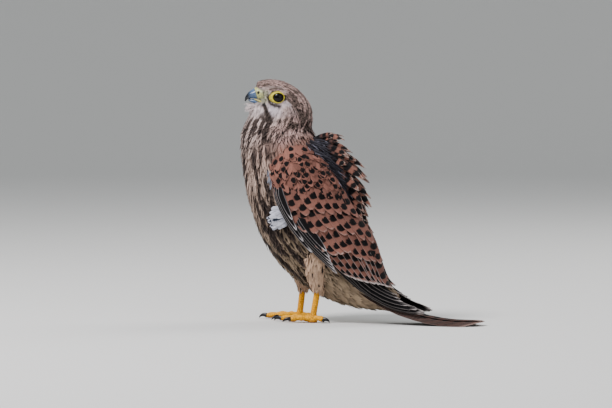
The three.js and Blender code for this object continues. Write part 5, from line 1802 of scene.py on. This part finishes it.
@dataclass
class Head:
    """Bill, cere, nostrils, eyes and the bare rings round them."""

    eye_radius: float = 6.3
    tip_dark: tuple = (-30.5, -36.0)
    base_pale: tuple = (-29.0, -25.0)
    nostril: tuple = (-24.4, 7.75, 228.3)
    ring_inner: tuple = (5.15, 4.45)
    ring_outer: tuple = (7.4, 6.7)
    ring_front: float = 2.2

    def turned(self, points: Array) -> Array:
        """Places given from the neck's line, put where the turned head has them."""
        return turn_about_neck(points + np.array([NECK_X, 0.0, 0.0]), HEAD_TURN)

    def horn(self, name: str, table: Array, rings: int, ridge: float) -> tuple[Piece, Array]:
        """A smooth loft through bill sections.

        Args:
            name: The piece's name.
            table: The sections.
            rings: How many rings.
            ridge: How sharp the upper side is.

        Returns:
            The object and how far forward each of its vertices is, from the neck's line.
        """
        row = along_rows(table, np.linspace(0, len(table) - 1, rings))
        angle = np.linspace(0, 2 * np.pi, 36, endpoint=False)
        middle = (row[:, 0:2] + row[:, 2:4]) / 2
        half = (row[:, 2:4] - row[:, 0:2]) / 2
        xz = middle[:, None] + half[:, None] * np.cos(angle)[None, :, None]
        pinch = 1 - ridge * ease(0.2, 1.0, np.cos(angle))
        y = row[:, 4:5] * (np.sin(angle) * pinch)[None]
        points = stacked(xz[..., 0], y, xz[..., 1])
        obj = shell(name, closed_rings(self.turned(points)))
        return obj, Place.on_head(obj)[:, 0]

    def bill(self) -> None:
        """Both halves of the bill, blue-grey with a dark tip, and the yellow cere."""
        for name, node, table, ridge in BILL_HALVES:
            obj, x = self.horn(name, table, 48, ridge)
            colour = mix(tint("#4b6487"), tint("#0d1016"), wide(ease(*self.tip_dark, x)))
            dress(obj, BILL_HORN, mix(colour, tint("#7f97b4"), 0.7 * wide(ease(*self.base_pale, x))))
            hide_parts(node)
        cere, x = self.horn("bill_cere", CERE, 24, 0.1)
        dress(cere, CERE_SKIN, mix(tint("#bdbd72"), tint("#8f8f66"), wide(ease(-25, -19, x))))
        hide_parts("cere")
        for side in Side:
            self.nostril_and_gape(side)

    def nostril_and_gape(self, side: Side) -> None:
        """A dark ball in the nostril, painted shade for its hollow, with its rim, and the fleshy corner of the mouth.
        """
        name = side.name.lower()
        x, y, z = self.nostril
        centre = self.turned(np.array([x, side.value * y, z]))
        # The nostril's hollow is a dark ball: painted shade.
        hole = self.ball(f"nostril_{name}", centre, (1.5, 0.9, 1.6))
        dress(hole, NOSTRIL_DARK, tint("#14110d"))
        rim = self.ring(f"nostril_rim_{name}", centre, 1.75, 0.36)
        dress(rim, CERE_SKIN, tint("#c6c47c"))
        gape = np.array(GAPE) * np.array([1.0, side.value, 1.0])
        line = along_rows(gape, np.linspace(0, len(gape) - 1, 18))
        radii = 0.25 + 0.75 * np.sin(np.linspace(0.3, 3.0, 18))
        lip = shell(f"gape_{name}", tube(self.turned(line), radii, sides=12))
        dress(lip, CERE_SKIN, tint("#c2b35c"))

    def ball(self, name: str, centre: Array, sizes: tuple) -> Piece:
        """A ball of the given half sizes."""
        bpy.ops.object.select_all(action="DESELECT")
        bpy.ops.mesh.primitive_uv_sphere_add(segments=32, ring_count=20, radius=1.0, location=(0, 0, 0))
        obj = bpy.context.active_object
        obj.name = name
        bpy.ops.transform.resize(value=tuple(s * MM for s in sizes))
        bpy.ops.transform.rotate(value=-HEAD_TURN, orient_axis="Z", center_override=(0, 0, 0))
        bpy.ops.transform.translate(value=tuple(Place.metres(centre)))
        bpy.ops.object.transform_apply(location=True, rotation=True, scale=True)
        bpy.ops.object.shade_smooth()
        return obj

    def ring(self, name: str, centre: Array, radius: float, thick: float) -> Piece:
        """A small round lip that faces out to one side."""
        angle, about = spaced((*FULL_TURN, 33), (*FULL_TURN, 12), closed=True)
        reach = radius + thick * np.cos(about)
        points = stacked(reach * np.cos(angle), thick * np.sin(about), reach * np.sin(angle))[:-1]
        local = self.turned(points) - np.array([NECK_X, 0, 0]) + centre
        return shell(name, (local.reshape(-1, 3), ring_faces(32, 12)))

    def eyes(self) -> None:
        """Dark glossy eyes and the yellow rings round them."""
        for side in Side:
            name = side.name.lower()
            centre = np.array([EYE_PLACE[0], side.value * EYE_PLACE[1], EYE_PLACE[2]])
            ball = self.ball(f"eyeball_{name}", self.turned(centre), (self.eye_radius,) * 3)
            local = Place.on_head(ball) - centre
            across = np.hypot(local[:, 0], local[:, 2])
            iris = between(across, (2.3, 2.6), (4.6, 5.0))
            dress(ball, EYE_WET, mix(tint("#020102"), tint("#0d0706"), wide(iris)))
            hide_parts(f"eye_{name}")
            self.lid(name, side, centre)

    def lid(self, name: str, side: Side, centre: Array) -> None:
        """The bare ring: a fleshy band that hugs the eye, wider in front."""
        angle = np.linspace(0, 2 * np.pi, 72, endpoint=False)[:, None]
        share = np.linspace(0, 1, 15)[None]
        inner_x, inner_z = self.ring_inner
        front = 0.5 + 0.5 * np.cos(angle - np.pi)
        x = mix(inner_x, self.ring_outer[0] + self.ring_front * front**2, share) * np.cos(angle)
        z = mix(inner_z, self.ring_outer[1], share) * np.sin(angle)
        wrinkle = 0.1 * np.sin(angle * 23) * np.sin(np.pi * share)
        away = (inner_x * np.cos(angle)) ** 2 + (inner_z * np.sin(angle)) ** 2
        on_ball = np.sqrt(np.maximum((self.eye_radius + 0.1) ** 2 - away, 1.0))
        height = mix(on_ball, 1.6, share**1.5) + 0.95 * np.sin(np.pi * np.minimum(1, share * 1.25)) + wrinkle
        height = mix(height, 0.4, ease(0.93, 1.0, share))
        inside = stacked(x[:, :1] * 0.96, 1.0, z[:, :1] * 0.96)
        face = stacked(x, height, z)
        under = stacked(x[:, -1:] * 0.9, -0.8, z[:, -1:] * 0.9)
        grid = np.concatenate([inside, face, under], axis=1)
        grid = grid * np.array([1.0, side.value, 1.0]) + centre
        obj = shell(f"eye_skin_{name}", (self.turned(grid.reshape(-1, 3)), ring_faces(*grid.shape[:2])))
        local = Place.on_head(obj) - centre
        reach = np.hypot(local[:, 0] / inner_x, local[:, 2] / inner_z)
        colour = mix(tint("#3a3012"), tint("#d9c728"), wide(ease(1.0, 1.12, reach)))
        dress(obj, CERE_SKIN, mix(colour, tint("#8c7d2a"), 0.7 * wide(ease(1.38, 1.6, reach))))
        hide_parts(f"eye_ring_{name}")


@dataclass(frozen=True)
class Toe:
    """One toe and its claw, in millimetres."""

    name: str
    turn: float
    length: float
    radius: float
    claw: float


TOES = (Toe("middle", 0, 36, 3.0, 9.5), Toe("inner", 27, 23, 2.9, 9.5), Toe("outer", -42, 25, 2.7, 8.5),
        Toe("hind", 176, 13, 2.9, 9))


@dataclass
class Leg:
    """The bare shank, the foot with its scutes, and the claws of one side."""

    side: Side
    scutes: int = 11
    shank_radius: float = 3.0
    foot_voxel: float = 0.42
    claw_bend: tuple = (-0.35, 1.25)

    def __post_init__(self) -> None:
        """Works out where the foot stands."""
        self.name = self.side.name.lower()
        self.ground = np.array([*LEGS[self.side]["foot"], 0.0])

    def over(self, toe: Toe, run: Array, high: Array) -> Array:
        """Places over the line of a toe, from how far out and how high they are."""
        angle = math.radians(LEGS[self.side]["turn"] - self.side.value * toe.turn)
        heading = np.array([-math.cos(angle), -math.sin(angle), 0.0])
        return self.ground + heading * run[:, None] + np.array([0, 0, 1.0]) * high[:, None]

    def build(self) -> None:
        """Makes the pieces of this leg."""
        self.shank()
        self.foot()
        for toe in TOES:
            self.claw(toe)

    def shank(self) -> None:
        """The bare shank, with a row of shallow scutes."""
        bottom, top = self.ground + [0, 0, 4.0], np.array(thigh_surface(self.side).ankle) + [0, 0, 5]
        s = np.linspace(0, 1, 60)
        scutes = 0.14 * np.abs(np.sin(s * np.pi * self.scutes)) ** 0.5
        radii = self.shank_radius + 0.6 * (1 - ease(0, 0.22, s)) + 0.4 * ease(0.75, 1, s) + scutes
        shank = shell(f"shank_{self.name}", tube(mix(bottom, top, s[:, None]), radii, sides=24))
        dress(shank, LEG_SKIN, tint("#dc9600"))
        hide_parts(f"tarsus_{self.name}")

    def foot(self) -> None:
        """The palm and the toes, grown together and flat where they stand."""
        palm = mix(self.ground + [0, 0, 0.3], self.ground + [0, 0, 6.8], np.linspace(0, 1, 12)[:, None])
        shells = [shell("palm", tube(palm, np.linspace(4.6, 3.0, 12), sides=24))]
        share = np.linspace(0, 1, 64)
        for toe in TOES:
            rings = np.abs(np.sin(share * np.pi * toe.length / 2.0)) ** 0.5
            pads = np.sin(share * np.pi * (3 if toe.length > 20 else 2)) ** 2
            radius = toe.radius * mix(1.05, 0.84, share) * (0.72 + 0.12 * rings + 0.26 * pads)
            radius = radius * (1 - 0.35 * ease(0.93, 1.0, share))
            height = toe.radius * mix(1.15, 0.9, share) + 1.7 * np.sin(np.pi * share)
            line = self.over(toe, share * toe.length, height)
            shells.append(shell("toe", tube(line, radius, sides=20, flat=1.08)))
        foot = remeshed(joined(shells, f"toes_{self.name}"), self.foot_voxel, 1)
        for vertex in foot.data.vertices:
            vertex.co.z = max(vertex.co.z, 0.0)
        # The toes are painted darker towards the floor, as shade under them.
        heights = np.array([v.co.z for v in foot.data.vertices]) / MM
        dress(foot, LEG_SKIN, mix(tint("#8a5400"), tint("#e29e00"), wide(ease(0.5, 4.5, heights))))
        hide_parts(f"foot_{self.name}")

    def claw(self, toe: Toe) -> None:
        """A claw that bends down from the end of its toe to the floor."""
        start, end = self.claw_bend
        angles, s = np.linspace(start, end, 26), np.linspace(0, 1, 26)
        bend = toe.claw * 0.7
        run = toe.length - 1.7 + bend * (np.sin(angles) - math.sin(start))
        high = toe.radius + bend * (np.cos(angles) - math.cos(start))
        high = high + max(0.0, 0.45 - high[-1]) * s
        radii = mix(2.15, 0.22, s**1.2)
        made = tube(self.over(toe, run, high), radii, sides=16, flat=1.15)
        claw = shell(f"talon_{toe.name}_{self.name}", made)
        for vertex in claw.data.vertices:
            vertex.co.z = max(vertex.co.z, 0.0001)
        dress(claw, CLAW_HORN, tint("#100e12"))
        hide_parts(f"claw_{toe.name}_{self.name}")


@dataclass
class Studio:
    """A pale floor that sweeps up behind, soft light, and the camera at the photo's angle."""

    azimuth: float = math.radians(20.0)
    elevation: float = math.radians(2.5)
    distance: float = 3.5
    view_width: float = 0.612
    aim_right: float = 6.0
    aim_height: float = 117.0

    def build(self) -> None:
        """Makes the floor, the lights and the camera."""
        floor = self.sweep()
        paper, _, shader = new_material("Backdrop_paper")
        shader.inputs["Base Color"].default_value = (*linear("#d9d8d4"), 1.0)
        shader.inputs["Roughness"].default_value = 0.9
        floor.data.materials.append(paper)
        world = bpy.data.worlds.new("Studio")
        bpy.context.scene.world = world
        world.use_nodes = True
        world.node_tree.nodes["Background"].inputs[0].default_value = (*linear("#e6ebf0"), 1.0)
        world.node_tree.nodes["Background"].inputs[1].default_value = 0.6
        self.lamp("key", (-1.0, -1.2, 2.1), 0.8, 92.0, "#fdfbff")
        self.lamp("fill", (1.6, -1.4, 0.9), 1.6, 8.0, "#f2f4ff")
        self.lamp("rim", (0.9, 1.5, 1.6), 1.2, 22.0, "#ffffff")
        self.camera()

    def sweep(self) -> Piece:
        """A wide floor whose edge rises in one smooth curve, on every side."""
        flat, bend, steps = 4.2, 2.4, 14
        bpy.ops.object.select_all(action="DESELECT")
        bpy.ops.mesh.primitive_circle_add(vertices=128, radius=flat, fill_type="NGON", location=(0, 0, -0.0002))
        floor = bpy.context.active_object
        floor.name = "studio_floor"
        bpy.ops.object.mode_set(mode="EDIT")
        bpy.ops.mesh.select_mode(type="EDGE")
        bpy.ops.mesh.select_all(action="SELECT")
        turns = np.linspace(0, math.pi / 2, steps + 1)
        reach = flat + bend * np.sin(turns)
        height = bend * (1 - np.cos(turns))
        for i in range(steps):
            bpy.ops.mesh.extrude_edges_move(TRANSFORM_OT_translate={"value": (0, 0, height[i + 1] - height[i])})
            grow = reach[i + 1] / reach[i]
            bpy.ops.transform.resize(value=(grow, grow, 1), center_override=(0, 0, 0))
        bpy.ops.object.mode_set(mode="OBJECT")
        bpy.ops.object.shade_smooth()
        return floor

    def lamp(self, name: str, place: tuple, size: float, watts: float, colour: str) -> None:
        """A soft square lamp that faces the bird."""
        light = bpy.data.lights.new(name, "AREA")
        light.size, light.energy, light.color = size, watts, linear(colour)
        obj = bpy.data.objects.new(name, light)
        bpy.context.scene.collection.objects.link(obj)
        obj.location = place
        obj.rotation_euler = (Vector((0, 0, 0.12)) - Vector(place)).to_track_quat("-Z", "Y").to_euler()

    def camera(self) -> None:
        """A long lens at the photo's angle."""
        data = bpy.data.cameras.new("camera")
        data.sensor_width = 36.0
        data.lens = data.sensor_width * self.distance / self.view_width
        obj = bpy.data.objects.new("camera", data)
        bpy.context.scene.collection.objects.link(obj)
        right = Vector((math.cos(self.azimuth), math.sin(self.azimuth), 0))
        back = Vector((math.sin(self.azimuth) * math.cos(self.elevation),
                       -math.cos(self.azimuth) * math.cos(self.elevation), math.sin(self.elevation)))
        middle = Vector((*(Place.shift[:2] * MM), self.aim_height * MM))
        target = middle + right * self.aim_right * MM
        obj.location = target + back * self.distance
        obj.rotation_euler = back.to_track_quat("Z", "Y").to_euler()
        bpy.context.scene.camera = obj


def main() -> None:
    """Builds the bird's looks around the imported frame."""
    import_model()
    Place.settle()
    rng = np.random.default_rng(7)
    body = Body(rng)
    body.skin()
    body.small_feathers()
    body.thigh_feathers()
    for side in Side:
        Wing(side, rng).build()
    Tail(rng).build()
    Mantle(rng).build()
    head = Head()
    head.bill()
    head.eyes()
    for side in Side:
        Leg(side).build()
    Studio().build()


if __name__ == "__main__":
    logging.basicConfig(level=logging.INFO, format="%(message)s")
    main()
